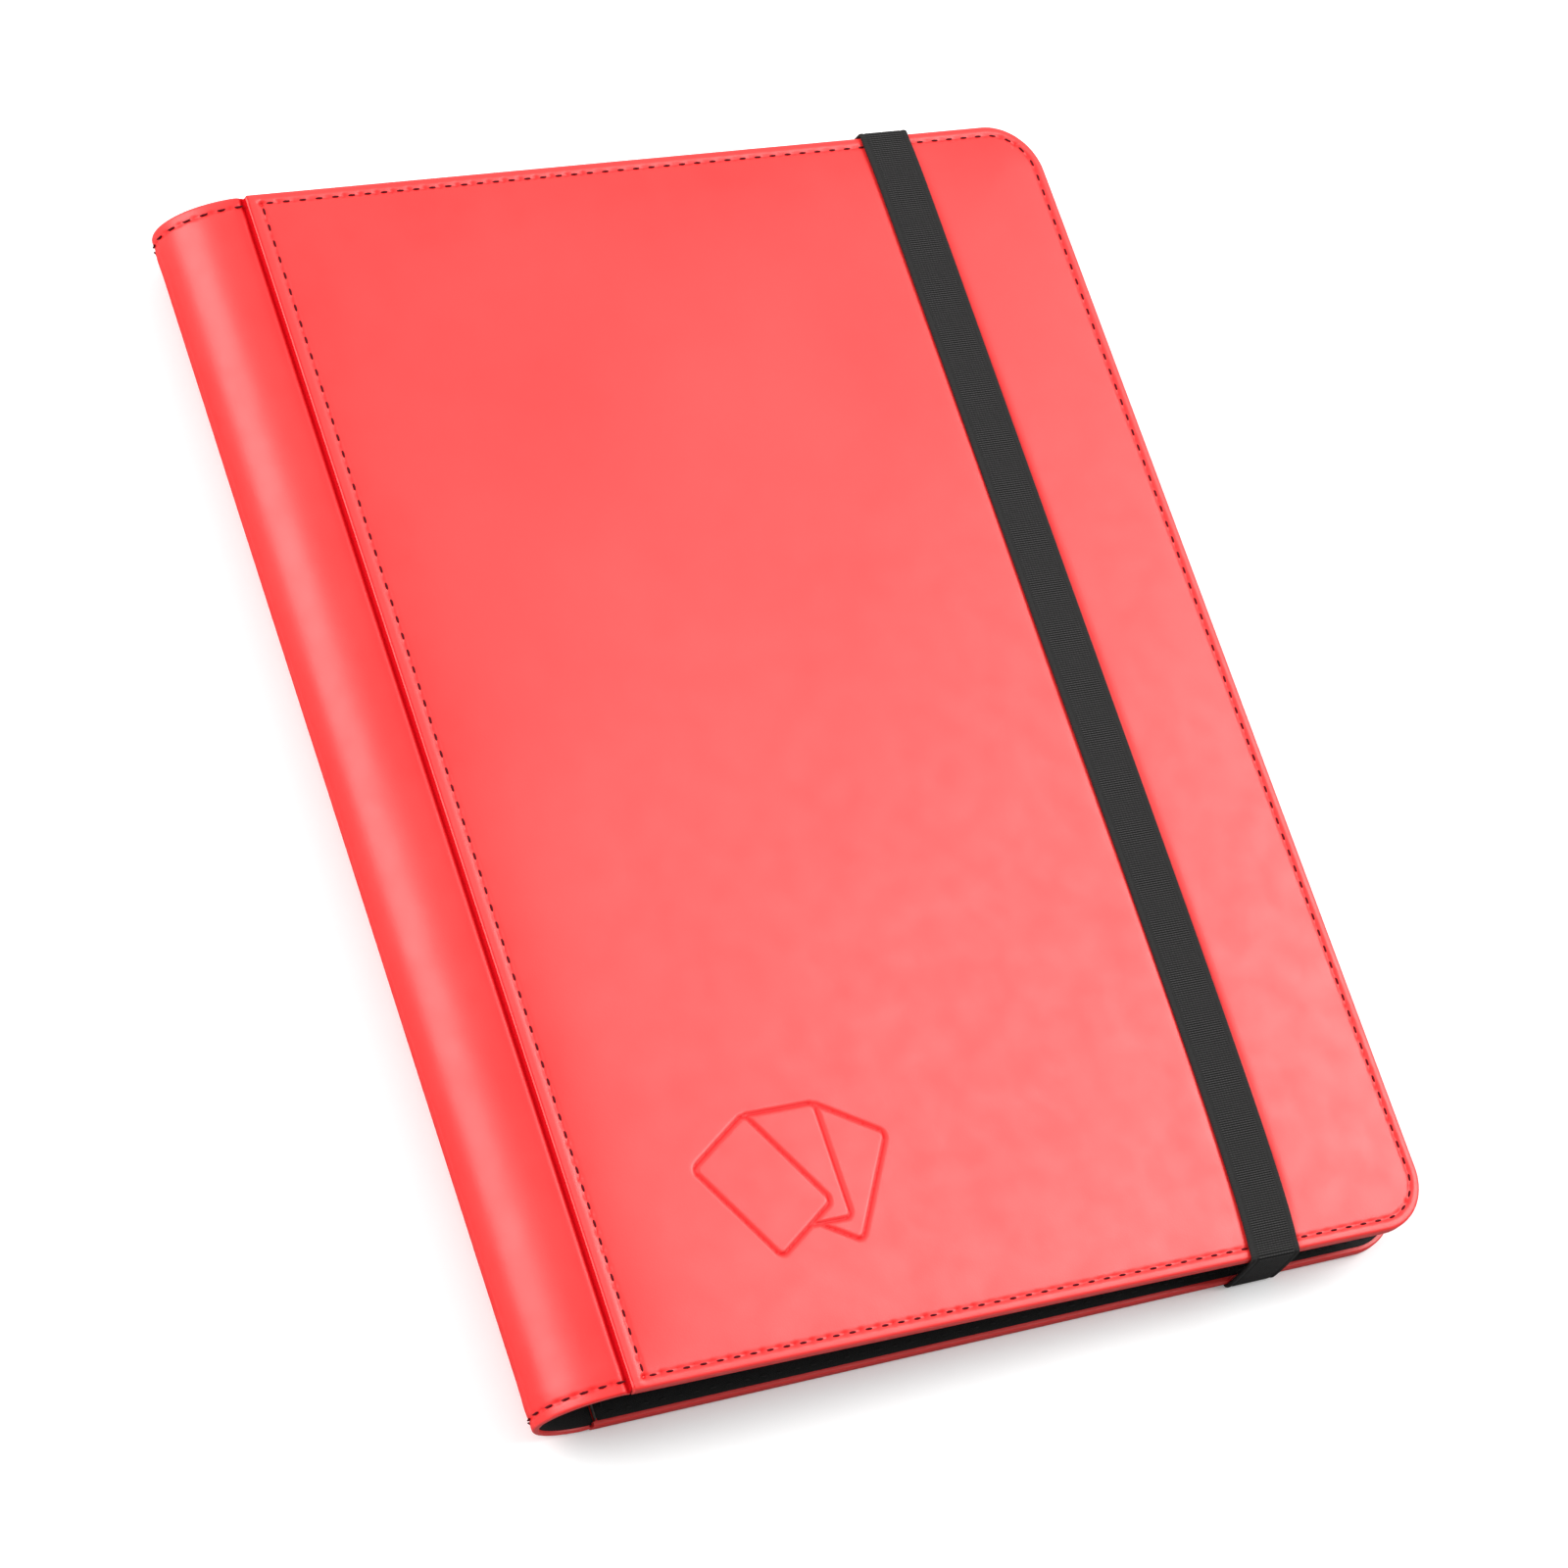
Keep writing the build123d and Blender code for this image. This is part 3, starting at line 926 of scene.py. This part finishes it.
def stitches(name, places, material):
    """All the stitches of one seam as one piece. places holds each stitch's place, direction and side."""
    points, faces, first = [], [], 0
    for place in places:
        ring = stitch(*place)
        rows, columns = ring.shape[:2]
        last = first + (rows - 1) * columns
        points.append(ring.reshape(-1, 3))
        faces += grid_faces(rows, columns, first, wrap=True)
        faces.append(tuple(range(first, first + columns)))
        faces.append(tuple(range(last, last + columns)))
        first = last + columns
    return build_mesh(name, np.concatenate(points), faces, [material], crease=80)


def edge_spots():
    """Places and directions of the stitches round a cover's three free edges."""
    spots = [(cover_width - seam, v, pi / 2) for v in middles(stitches_v, pitch_v, -run_v)]
    for side in (1, -1):
        spots += [(u, side * hinge_run, 0.0) for u in middles(stitches_u, pitch_u, hinge_seam)]
        for angle in middles(corner_count, pitch_corner / seam_radius):
            u = cover_width - corner_radius + seam_radius * cos(angle)
            spots.append((u, side * (run_v + seam_radius * sin(angle)), side * (angle + pi / 2)))
    return spots


def hinge_spots():
    return [(hinge_seam, v, pi / 2) for v in middles(hinge_count, pitch_hinge, -hinge_run)]


def placed(where, spots, depth_of, faces_out):
    """Stitches on the outer face or the lining. The back's outer face has none under the sunk strap."""
    out = -where.inward if faces_out else where.inward
    places = []
    for u, v, angle in spots:
        in_seat = abs(u - strap_u) < seat_half and abs(v) > half_height - seat_length
        if not (where is back and faces_out and in_seat):
            direction = where.across * cos(angle) + Y_AXIS * sin(angle)
            depth = depth_of(np.array([u]), np.array([v]))[0]
            places.append((where.at(u, v, depth), direction, out))
    return places


def lining_surface(x, y):
    """The lining's seen face: over the turned-in leather at the edge, pressed down to the board inside it."""
    sunk, step_down, softness = 0.02, 0.3, 0.5
    seam_depth, seam_width, unevenness = 0.12, 0.5, 0.03
    edge = edge_distance(x, y)
    pressed = step_down * step_at(edge - turn_in - 0.5, softness)
    pressed = pressed + seam_depth * bump_at(edge - seam, seam_width)
    return cover_t - sunk - pressed - unevenness * dents(y, x)


def lining_cloth(name, where):
    inset, start = lining_inset + 0.15, 2.2
    band, edge_step, fold_step, middle_step = 18, 0.6, 1.2, 7
    end_u, end_v = cover_width - inset, half_height - inset
    band_u, band_v = cover_width - band, half_height - band
    under_lip = turn_in + 0.2
    u = runs(start, (band, fold_step), (band_u, middle_step), (end_u, edge_step))
    v = runs(-end_v, (-band_v, edge_step), (band_v, middle_step), (end_v, edge_step))
    rim = [(inset - 0.1, cover_t - 0.1, start - 0.1, cover_t - 0.1),
           (inset - 0.1, lining_depth, start - 0.1, lining_depth),
           (under_lip, lining_depth, start, lining_depth), (under_lip, lip_depth, start, lip_depth)]
    return panel(name, where, inset, start, (u, v), lining_surface, rim, lining)


def foam_pad(name, where):
    """The padding sheet. The back's has channels for the strap's ends."""
    inset, start = 1.0, 8.3
    near_depth, far_depth = foam_low + 0.1, foam_high - clearance
    channel_depth, channel_end, softness = 0.9, seat_length + slit_width + tail_length + 1, 0.2
    near_strap = 12

    def depth_of(x, y):
        channel = step_at(seat_half - np.abs(x - strap_u), softness)
        channel = channel * step_at(channel_end - half_height + np.abs(y), softness)
        return near_depth + channel_depth * channel * (where is back)

    u = runs(start, (strap_u - near_strap, 8), (strap_u + near_strap, 0.8), (cover_width - inset, 5))
    v = spread(inset - half_height, half_height - inset, 3)
    return panel(name, where, inset, start, (u, v), depth_of, [(inset, far_depth, start, far_depth)], foam)


def dress(node, material):
    """Gives a CAD node that stays shown its material."""
    mesh = frame["nodes"][node].data
    mesh.materials.clear()
    mesh.materials.append(material)


def cover(side, where, depth_of, painted_shade_of, lines):
    """All the shown pieces of one cover."""
    body = f"{side}_cover"
    skin = panel(
        f"{body}_leather", where, rim_round, fold_round, lines, depth_of, leather_rim(), leather, painted_shade_of
    )
    stands_for(skin, f"{body}_skin", body)
    stands_for(lining_cloth(f"{body}_lining_cloth", where), f"{body}_lining", body)
    stands_for(foam_pad(f"{body}_padding", where), f"{body}_foam", body)
    for row, node, spots in (
        (f"{body}_edge", f"{body}_stitching", edge_spots()),
        (f"{side}_hinge", f"{side}_hinge_stitching", hinge_spots()),
    ):
        outer = stitches(f"{row}_stitches", placed(where, spots, depth_of, True), red_thread)
        inner = stitches(f"{row}_stitches_inside", placed(where, spots, lining_surface, False), black_thread)
        stands_for(outer, node, body)
        stands_for(inner, node, body)
    dress(f"{body}_board", board)


# The grid is finer over the ornament on the front, and along the seat's sides and round the slits on the back
fan_span, fan_step = 38.0, 0.45
fan_lines = cover_lines(
    [(fan_u - fan_span, fan_u + fan_span, fan_step)], [(fan_v - 2, fan_v + fan_span, fan_step)]
)
slit_end = half_height - seat_length - slit_width
slit_span, slit_step, side_step = 2.6, 0.2, 0.16
seat_lines = cover_lines(
    [(strap_u + side - 1, strap_u + side + 1, side_step) for side in (-seat_half, seat_half)],
    [(-slit_end - slit_span, -slit_end + 1, slit_step), (slit_end - 1, slit_end + slit_span, slit_step)],
)
cover("front", front, front_depth, front_painted_shade, fan_lines)
cover("back", back, back_depth, back_painted_shade, seat_lines)

# ---- Spine ----

lean_cos = float(front.across @ spine.across)
lean_sin = float(abs(front.across @ spine.inward))
back_fold = spine.at(0, 0, -spine_half)
front_fold = spine.at(0, 0, spine_half)
apex = spine.at(-spine_bulge, 0, 0)
inner_half = half_length("spine_lining")


def spine_section(side, station, depth):
    """u and w of the spine's section: a station up to 0 runs under the cover in millimetres, and one above 0
    is an angle in radians from the fold to the apex."""
    reach = np.maximum(-station, 0)
    angle = np.maximum(station, 0)
    u = -(spine_bulge - depth) * np.sin(angle) + reach * lean_cos
    w = (spine_half - depth) * np.cos(angle) - reach * lean_sin
    return u, side * w


def bend_half(piece, side):
    """Bakes a half of the spine's placement into its mesh. Both halves are handled alike, and neither is bent."""
    if side < 0:
        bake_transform(piece)
    else:
        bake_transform(piece)


def both_halves(name, make, node):
    """A layer of the spine, whose halves make(name, side) shapes: side is -1 by the back cover, else 1."""
    for side, label in ((-1, "back"), (1, "front")):
        piece = make(f"{name}_{label}_half", side)
        stands_for(piece, node)
        bend_half(piece, side)


def spine_stitch_angles():
    """Angles from the fold of one quarter's stitches and needle holes, spaced evenly along the curve."""
    fine = np.linspace(0, pi / 2, 400)
    along = path_lengths(np.stack(spine_section(1, fine, 0), -1))
    holes = np.linspace(0, along[-1], round(along[-1] / stitch_pitch) + 1)
    between = (holes[1:] + holes[:-1]) / 2
    return np.interp(between, along, fine), np.interp(holes, along, fine)


stitch_angles, hole_angles = spine_stitch_angles()
hole_half_angle = 0.043
crease_end = radians(14)
mean_radius = 0.87 * spine_bulge
under_cover = [-7.5, -5.0, -2.5, -1.5, -0.8, -0.4]
over_crease = np.linspace(0, crease_end, 20)
leather_stations = np.concatenate([under_cover, over_crease, np.linspace(crease_end, pi / 2, 42)[1:]])


def spine_leather_section():
    """The leather's section along the spine. Its ends are turned in over the layers beneath."""
    end = half_height
    edge_round, edge_band = 0.8, 9.0
    turned_depth, turned_in = 1.75, 0.85
    half = [(v, 0.0) for v in runs(0, (end - edge_band, 4), (end - edge_round, 0.36))]
    half += [(end - edge_round * (1 - sin(a)), edge_round * (1 - cos(a))) for a in quarter()]
    half += [(end, 1.2), (end - 0.15, 1.6), (end - 0.5, turned_depth)]
    half += [(end - turned_in, turned_depth), (end - turned_in, skin_t), (0.0, skin_t)]
    return mirrored_section(half)


def spine_leather(name, side):
    """Half the spine's outer leather, from under the cover over the crease beside its fold to the apex.
    crease_shades are the strength and width of the crease's painted dark line and of the softer painted shade
    round it."""
    crease_depth, crease_place, crease_width, crease_fade = 0.95, 0.3, 1.1, 0.45
    crease_shades = ((1.5, 0.8), (0.5, 3.0))
    shade_place, seam_shade = 0.2, 1.1
    thread_depth, hole_depth = 0.18, 0.28
    sag_depth, sag_wave = 0.1, 37
    puff_depth, puff_place, puff_width = 0.16, 6.5, 2.6
    v, depth = spine_leather_section().T[:, None]
    station = leather_stations[:, None]
    under = station <= 0
    on_face = depth == 0
    arc = np.maximum(station, 0) * spine_bulge
    crease = crease_depth * bump_at(arc - crease_place, crease_width) * np.clip(1 - crease_fade * depth, 0, 1)
    to_hole = np.abs(station - hole_angles).min(1, keepdims=True)
    groove = thread_depth + hole_depth * bump_at(to_hole, hole_half_angle)
    groove = groove * bump_at(np.abs(v) - hinge_run, thread_groove) * on_face
    sag = sag_depth * np.sin(v / sag_wave + 1.7) * np.sin(station * 2.2) * (1 - np.abs(v) / half_height)
    puff = puff_depth * bump_at(half_height - np.abs(v) - puff_place, puff_width)
    pressed = depth + crease + groove + (sag - puff) * on_face
    u, w = spine_section(side, station, np.where(under, np.minimum(depth, skin_t), pressed))
    v = np.where(under, np.clip(v, -inner_half, inner_half), v)
    along = np.where(under, station, station * mean_radius)
    # Painted shade: a dark line in the crease by the fold, and darker colour in the seam's stitch grooves
    shade = sum(strength * bump_at(along - shade_place, width) for strength, width in crease_shades)
    shade = np.maximum(np.clip(shade, 0, 1) * (depth < skin_t / 2), seam_shade * groove)
    return loft(name, spine.at(u, v, w), [leather], flat_map(along * side, v), crease=50, painted_shade=shade)


def spine_sheet(depth, thickness, stations, end, material):
    """Makes a plain layer of the spine."""
    v, out = sheet_section(end, thickness).T[:, None]
    station = stations[:, None]

    def make(name, side):
        u, w = spine_section(side, station, depth + thickness / 2 - out)
        return loft(name, spine.at(u, v, w), [material], flat_map(station * spine_bulge, v))

    return make


def spine_seam(name, side):
    """The stitches across both ends of half the spine, sunk into their groove."""
    sunk = 0.18
    places = []
    for angle in stitch_angles:
        u, w = spine_section(side, angle, 0)
        outwards = -spine_bulge * cos(angle) * spine.across
        direction = unit(outwards - side * spine_half * sin(angle) * spine.inward)
        out = side * np.cross(direction, Y_AXIS)
        for v in (hinge_run, -hinge_run):
            places.append((spine.at(u, v, w) - out * sunk * MM, direction, out))
    return stitches(name, places, red_thread)


stiffener_depth, stiffener_t = 0.78, 0.56
stiffener_angles = np.linspace(radians(15), pi / 2, 30)
stiffening = spine_sheet(
    stiffener_depth, stiffener_t, stiffener_angles, half_length("spine_stiffener"), stiffener_sheet
)
inner_depth, inner_t = 1.42, 0.36
inner_stations = np.concatenate([[-1.1, -0.5], np.linspace(0, pi / 2, 40)])
spine_inside = spine_sheet(inner_depth, inner_t, inner_stations, inner_half - 0.1, lining)
both_halves("spine_leather", spine_leather, "spine_skin")
both_halves("spine_stiffening", stiffening, "spine_stiffener")
both_halves("spine_lining_cloth", spine_inside, "spine_lining")
both_halves("spine_end_stitches", spine_seam, "spine_stitching")

# ---- Leaves ----


def leaf_ends(node):
    """The middles of a leaf's edge by the binding and of its fore-edge."""
    near = 0.5 * MM
    points = node_points(node)
    along = (points - spine.origin) @ spine.across
    root = points[along < along.min() + near].mean(0)
    tip = points[along > along.max() - near].mean(0)
    return root * (1, 0, 1), tip * (1, 0, 1)


first_root, first_tip = leaf_ends("leaf_01")
leaf_width = np.linalg.norm(first_tip - first_root) / MM
leaf_margin = 5.0
pockets_across = 3
pockets_up = 3
pocket_width = (leaf_width - 2 * leaf_margin) / pockets_across
pocket_height = 2 * (leaf_half - leaf_margin) / pockets_up
core_half = 0.08
film_t = 0.05
film_gap = 0.005
pillow = 0.09
mouth = 1.6
weld = 0.6
notch = 7.0


def leaf_outline():
    """The black core sheet, with small round corners at the fore-edge."""
    radius = 3.0
    upper = [(0.0, leaf_half)]
    for a in [0.0] + quarter():
        upper.append((leaf_width - radius + radius * sin(a), leaf_half - radius + radius * cos(a)))
    return np.array(upper + [(u, -v) for u, v in reversed(upper)])


def pocket_patch(face, column, row, steps=9):
    """One clear pocket: a thin film welded on three sides, a little pillowed, with a notch at its mouth."""
    end_slope, side_slope, mouth_lift, mouth_slope = 3.2, 4, 0.4, 3
    low_u = leaf_margin + column * pocket_width + mouth
    high_u = leaf_margin + (column + 1) * pocket_width - weld
    half_v = pocket_height / 2 - weld
    notch_lines = notch * np.array([-1, -0.9, -0.6, 0, 0.6, 0.9, 1])
    v = joined(np.linspace(-half_v, half_v, steps), notch_lines)[None, :]
    s = np.linspace(0, 1, steps)[:, None]
    bite = np.sqrt(np.maximum(notch**2 - v**2, 0))
    u = low_u + bite + s * (high_u - low_u - bite)
    by_ends = np.minimum(1, end_slope * (1 - (v / half_v) ** 2))
    by_sides = np.minimum(1, side_slope * (1 - s)) * np.minimum(1, mouth_lift + mouth_slope * s)
    v = np.broadcast_to(v, u.shape) + (row - (pockets_up - 1) / 2) * pocket_height
    low = core_half + film_gap + pillow * by_ends * by_sides
    layers = [np.stack([u, v, face * height], -1).reshape(-1, 3) for height in (low + film_t, low)]
    return np.concatenate(layers), slab_faces(*u.shape)


def leaf_shape():
    """Every leaf's points in its own frame in millimetres, its faces, and how many faces are the core's."""
    outline = leaf_outline()
    count = len(outline)
    points = [np.column_stack([outline, np.full(count, height)]) for height in (core_half, -core_half)]
    faces = [tuple(range(count)), tuple(range(2 * count - 1, count - 1, -1))]
    faces += [(a, (a + 1) % count, count + (a + 1) % count, count + a) for a in range(count)]
    of_core = len(faces)
    first = 2 * count
    for face, column, row in product((1, -1), range(pockets_across), range(pockets_up)):
        patch, patch_faces = pocket_patch(face, column, row)
        points.append(patch)
        faces += [tuple(corner + first for corner in corners) for corners in patch_faces]
        first += len(patch)
    return np.concatenate(points), faces, of_core


leaf_points, leaf_faces, core_faces = leaf_shape()
strip_t = 0.26
strip_u, strip_w = spine.local(node_points("leaf_hinge_strips"))
block_front = -0.5
block_back = strip_u.min()
in_block = strip_w[strip_u < block_back + 0.1]
block_height = in_block.max() - in_block.min() - 0.3
block_pitch = block_height / (len(leaf_names) - 1)


def leaf(name):
    """A leaf's core sheet and the pockets on both its faces. Returns the place of its root."""
    root, tip = leaf_ends(name)
    across = unit(tip - root)
    where = Frame(root, across, np.cross(across, Y_AXIS))
    films = build_mesh(
        f"{name}_pockets", where.at(*leaf_points.T), leaf_faces, [pocket_core, pocket_film],
        leaf_points[:, :2], crease=25,
    )
    slots = np.ones(len(leaf_faces), int)
    slots[:core_faces] = 0
    films.data.polygons.foreach_set("material_index", slots)
    stands_for(films, name, name)
    return root


def margin(name, root, level):
    """The flexible strip between a leaf's root and the binding, which it enters level millimetres from the
    spine's middle plane. It bends between the two."""
    root_u, root_w = (float(value) for value in spine.local(root))
    bend_lines = spread(block_front, root_u - clearance, 0.9)
    u = np.concatenate([[block_back, block_front - 3], bend_lines])[:, None]
    w = level + (root_w - level) * np.clip((u - block_front) / (root_u - block_front), 0, 1)
    v, out = sheet_section(leaf_half, strip_t).T[:, None]
    strip = loft(f"{name}_margin", spine.at(u, v, w + out), [hinge_cloth], flat_map(u, v))
    stands_for(strip, "leaf_hinge_strips")
    spine.at(block_front, 0, level)
    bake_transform(strip)


for number, leaf_name in enumerate(leaf_names):
    margin(leaf_name, leaf(leaf_name), ((len(leaf_names) - 1) / 2 - number) * block_pitch)

# ---- Binding ----

cloth_half = leaf_half - 0.1


def folded_sheet(name, path, thickness, node):
    """Cloth of the binding whose section follows path, given as u and w places in the spine's frame."""
    path = np.array(path)
    normal = path_normals(path)
    v, out = sheet_section(cloth_half, thickness).T[:, None]
    u = path[:, :1] + normal[:, :1] * out
    w = path[:, 1:] + normal[:, 1:] * out
    piece = loft(name, spine.at(u, v, w), [lining], flat_map(path_lengths(path)[:, None], v))
    stands_for(piece, node, "spine")


wrap_u, wrap_w = spine.local(node_points("binding_wrap"))
wrap_t = 0.7
wrap_bend = 1.2
wrap_half = wrap_w.max() - wrap_t / 2 - clearance
wrap_back = wrap_u.min() + wrap_t / 2 + clearance
half_wrap = [(wrap_u.max(), wrap_half), (-3.0, wrap_half)]
for a in [0.0] + quarter():
    half_wrap.append((wrap_back + wrap_bend * (1 - sin(a)), wrap_half - wrap_bend * (1 - cos(a))))
wrap_path = half_wrap + [(u, -w) for u, w in reversed(half_wrap)]
folded_sheet("binding_cloth_wrap", wrap_path, wrap_t, "binding_wrap")

# The tape runs out of the wrap's back and spreads both ways as a foot on the spine's lining
tape_t = 0.5
tape_depth = 2.1
foot_u = spine.local(node_points("binding_anchor_tape"))[0].min() + 0.32
foot_angles = (0.22, 0.3, 0.38)
for side, label in ((1, "front"), (-1, "back")):
    middle = side * tape_t / 2
    path = [(wrap_back - wrap_t / 2 - clearance, middle), (foot_u + 1.6, middle)]
    path += [(foot_u + 0.5, side * 0.7), (foot_u + 0.1, side * 1.6)]
    for a in foot_angles:
        path.append((-(spine_bulge - tape_depth) * cos(a), side * (spine_half - tape_depth) * sin(a)))
    folded_sheet(f"binding_tape_{label}_foot", path, tape_t, "binding_anchor_tape")

sewn_count = 48
sewn_pitch = 6.0
sewn_length = 4.4
sewn_u = float(spine.local(node_points("binding_stitching"))[0].mean())
sewn_places = []
for v, side in product(middles(sewn_count, sewn_pitch, -sewn_count * sewn_pitch / 2), (1, -1)):
    place = spine.at(sewn_u, v, side * wrap_w.max())
    sewn_places.append((place, Y_AXIS, side * spine.inward, sewn_length))
sewn = stitches("binding_stitches", sewn_places, black_thread)
stands_for(sewn, "binding_stitching", "spine")
dress("binding_spacers", board)

# ---- Elastic strap ----

strap_t = 1.0
strap_gap = 0.12
strap_bend = 0.9
strap_out = half_height + strap_gap + strap_t / 2
strap_low = strap_t / 2 + 0.06


def strap_section():
    """The webbing's section: a corded edge each side, set off from the flat middle by a groove."""
    cord = ((0.0, 0.0), (0.12, 0.36), (0.5, 0.5), (1.0, 0.5), (1.35, 0.42))
    groove = ((1.6, 0.26), (1.85, 0.4), (2.3, 0.45))
    top = [(strap_width / 2 - inset, height) for inset, height in cord + groove]
    top += [(-u, height) for u, height in reversed(top)]
    return np.array(top + [(u, -height) for u, height in reversed(top[1:-1])])


def strap_line():
    """The strap's middle line as (y, share of the way up the side, height). It starts as a tail inside the
    back cover, runs out of a slit, round the bottom edge, over the front, round the top edge and in again.
    Heights are over the back cover's outer face, and over the front one's at share 1."""
    slit = half_height - seat_length
    deep = foam_high - strap_t / 2
    corner = strap_out - strap_bend
    foot = [(slit - tail_length, deep), (slit - 6, deep), (slit - 2.2, deep), (slit - 0.8, deep - 0.35),
            (slit + 0.6, strap_low + 0.2), (slit + 2.2, strap_low)]
    foot += [(y, strap_low) for y in spread(slit + 4, corner, 1.2)]
    foot += [(corner + strap_bend * sin(a), strap_low + strap_bend * (1 - cos(a))) for a in quarter()]
    end = [(y, 0.0, height) for y, height in foot]
    end += [(strap_out, share, 0.0) for share in np.linspace(0, 1, 24)[1:-1]]
    end += [(corner + strap_bend * cos(a), 1.0, strap_bend * (sin(a) - 1)) for a in quarter()]
    over_front = [(y, 1.0, 0.0) for y in spread(-corner, corner, 0.9)[1:-1]]
    return np.array([(-y, share, height) for y, share, height in end] + over_front + end[::-1])


def build_strap():
    """The webbing along its middle line. Where it crosses the front it tilts with the cover."""
    y, share, height = strap_line().T
    u = strap_u + (strap_centre(np.clip(y, -half_height, half_height)) - strap_u) * share**1.5
    slope = front.across[2] / front.across[0]
    over_leather = strap_gap + strap_t / 2 + 0.1
    top = (front.origin[2] - back.origin[2]) / MM + u * slope + over_leather
    foot = strap_low + strap_bend
    side_height = foot + share * (top - strap_bend - foot)
    lift_share = 0.6
    lifted = lift_share * front_swell * rise(half_height - np.abs(y) - seam, swell_width)
    z = np.select([share == 0, share < 1], [height, side_height], top + height + lifted)
    normal = path_normals(np.stack([y, z], -1))
    along = path_lengths(np.stack([u, y, z], -1))[:, None]
    across, out = strap_section().T[:, None]
    points = back.at(
        u[:, None] + across,
        y[:, None] + normal[:, :1] * out,
        z[:, None] + normal[:, 1:] * out + share[:, None] * slope * across,
    )
    return loft("elastic_closing_strap", points, [elastic], flat_map(along, across), crease=60)


strap = build_strap()
stands_for(strap, "elastic_strap", "strap")
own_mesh(strap)

# ---- Studio ----


def floor_material():
    """Pale paper. It throws back less light than the camera sees, and glows a little away from the lights."""
    look = Look("studio_floor", mapped=False)
    mottle = look.noise(cell=400)
    seen = look.add("ShaderNodeLightPath").outputs["Is Camera Ray"]
    distance = look.add("ShaderNodeVectorMath", {"operation": "LENGTH"}, Vector=look.place).outputs["Value"]
    return look.finish(
        Base_Color=look.mix(seen, grey(0.4), look.mix(mottle, grey(0.93), grey(0.95))),
        Roughness=look.ramp(mottle, 0, 1, 0.7, 0.8),
        Normal=look.bump(mottle, depth=0.01, strength=0.1),
        Specular_IOR_Level=0.1,
        Emission_Color=grey(1),
        Emission_Strength=look.times(seen, look.ramp(distance, 0.9, 2.4, 0.14, 0.5)),
    )


def studio_floor():
    half = 5.0
    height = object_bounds()[0].z - 0.1 * MM
    corners = np.array([(x * half, y * half, height) for x, y in ((-1, -1), (1, -1), (1, 1), (-1, 1))])
    floor = build_mesh("studio_floor_sheet", corners, [(0, 1, 2, 3)], [floor_material()])
    if floor.data.polygons[0].normal.z < 0:
        floor.data.flip_normals()
    floor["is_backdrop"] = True


def studio_sky():
    """White to the camera. Its light grows from the binder's bottom edge towards its top."""
    world = bpy.data.worlds.new("studio")
    world.use_nodes = True
    sky = Nodes(world.node_tree)
    seen = sky.add("ShaderNodeLightPath").outputs["Is Camera Ray"]
    direction = sky.add("ShaderNodeTexCoord").outputs["Generated"]
    towards_top = sky.add("ShaderNodeSeparateXYZ", Vector=direction).outputs["Y"]
    fill = sky.ramp(towards_top, -0.8, 0.8, 0.16, 1.08)
    background = world.node_tree.nodes["Background"]
    sky.feed(background.inputs["Color"], grey(1))
    sky.feed(background.inputs["Strength"], sky.maths("MAXIMUM", fill, seen))
    bpy.context.scene.world = world


def aimed(name, data, direction, distance, target=(0, 0, 0), roll=0.0):
    """A lamp or camera at a distance from a target in a direction, facing the target."""
    thing = bpy.data.objects.new(name, data)
    away = Vector(direction).normalized()
    turn = away.to_track_quat("Z", "Y") @ Quaternion((0, 0, 1), roll)
    thing.matrix_world = Matrix.Translation(Vector(target) + away * distance) @ turn.to_matrix().to_4x4()
    bpy.context.scene.collection.objects.link(thing)
    return thing


def softbox(name, direction, distance, size, power):
    """A square area light shining on the binder from a direction."""
    data = bpy.data.lights.new(name, "AREA")
    data.shape = "SQUARE"
    data.size = size
    data.energy = power
    aimed(name, data, direction, distance)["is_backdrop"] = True


def photo_camera():
    """The view: its azimuth and elevation, and a roll about the line of sight."""
    azimuth, elevation, roll = radians(-57.16), radians(57.15), radians(42.494)
    direction = (sin(azimuth) * cos(elevation), -cos(azimuth) * cos(elevation), sin(elevation))
    data = bpy.data.cameras.new("photo_camera")
    data.lens = 133.37
    camera = aimed("photo_camera", data, direction, 1.504, (-0.0081, -0.0134, 0.0155), roll)
    bpy.context.scene.camera = camera


studio_floor()
studio_sky()
softbox("sheen_softbox", (0.72, 0.02, 0.69), distance=2.2, size=1.3, power=38)
softbox("window_softbox", (-0.87, 0.4, 0.52), distance=2.8, size=2.2, power=76)
softbox("ceiling_softbox", (-0.6, 0.1, 1.0), distance=2.6, size=1.2, power=8)
photo_camera()
bpy.context.scene.view_settings.view_transform = "Standard"
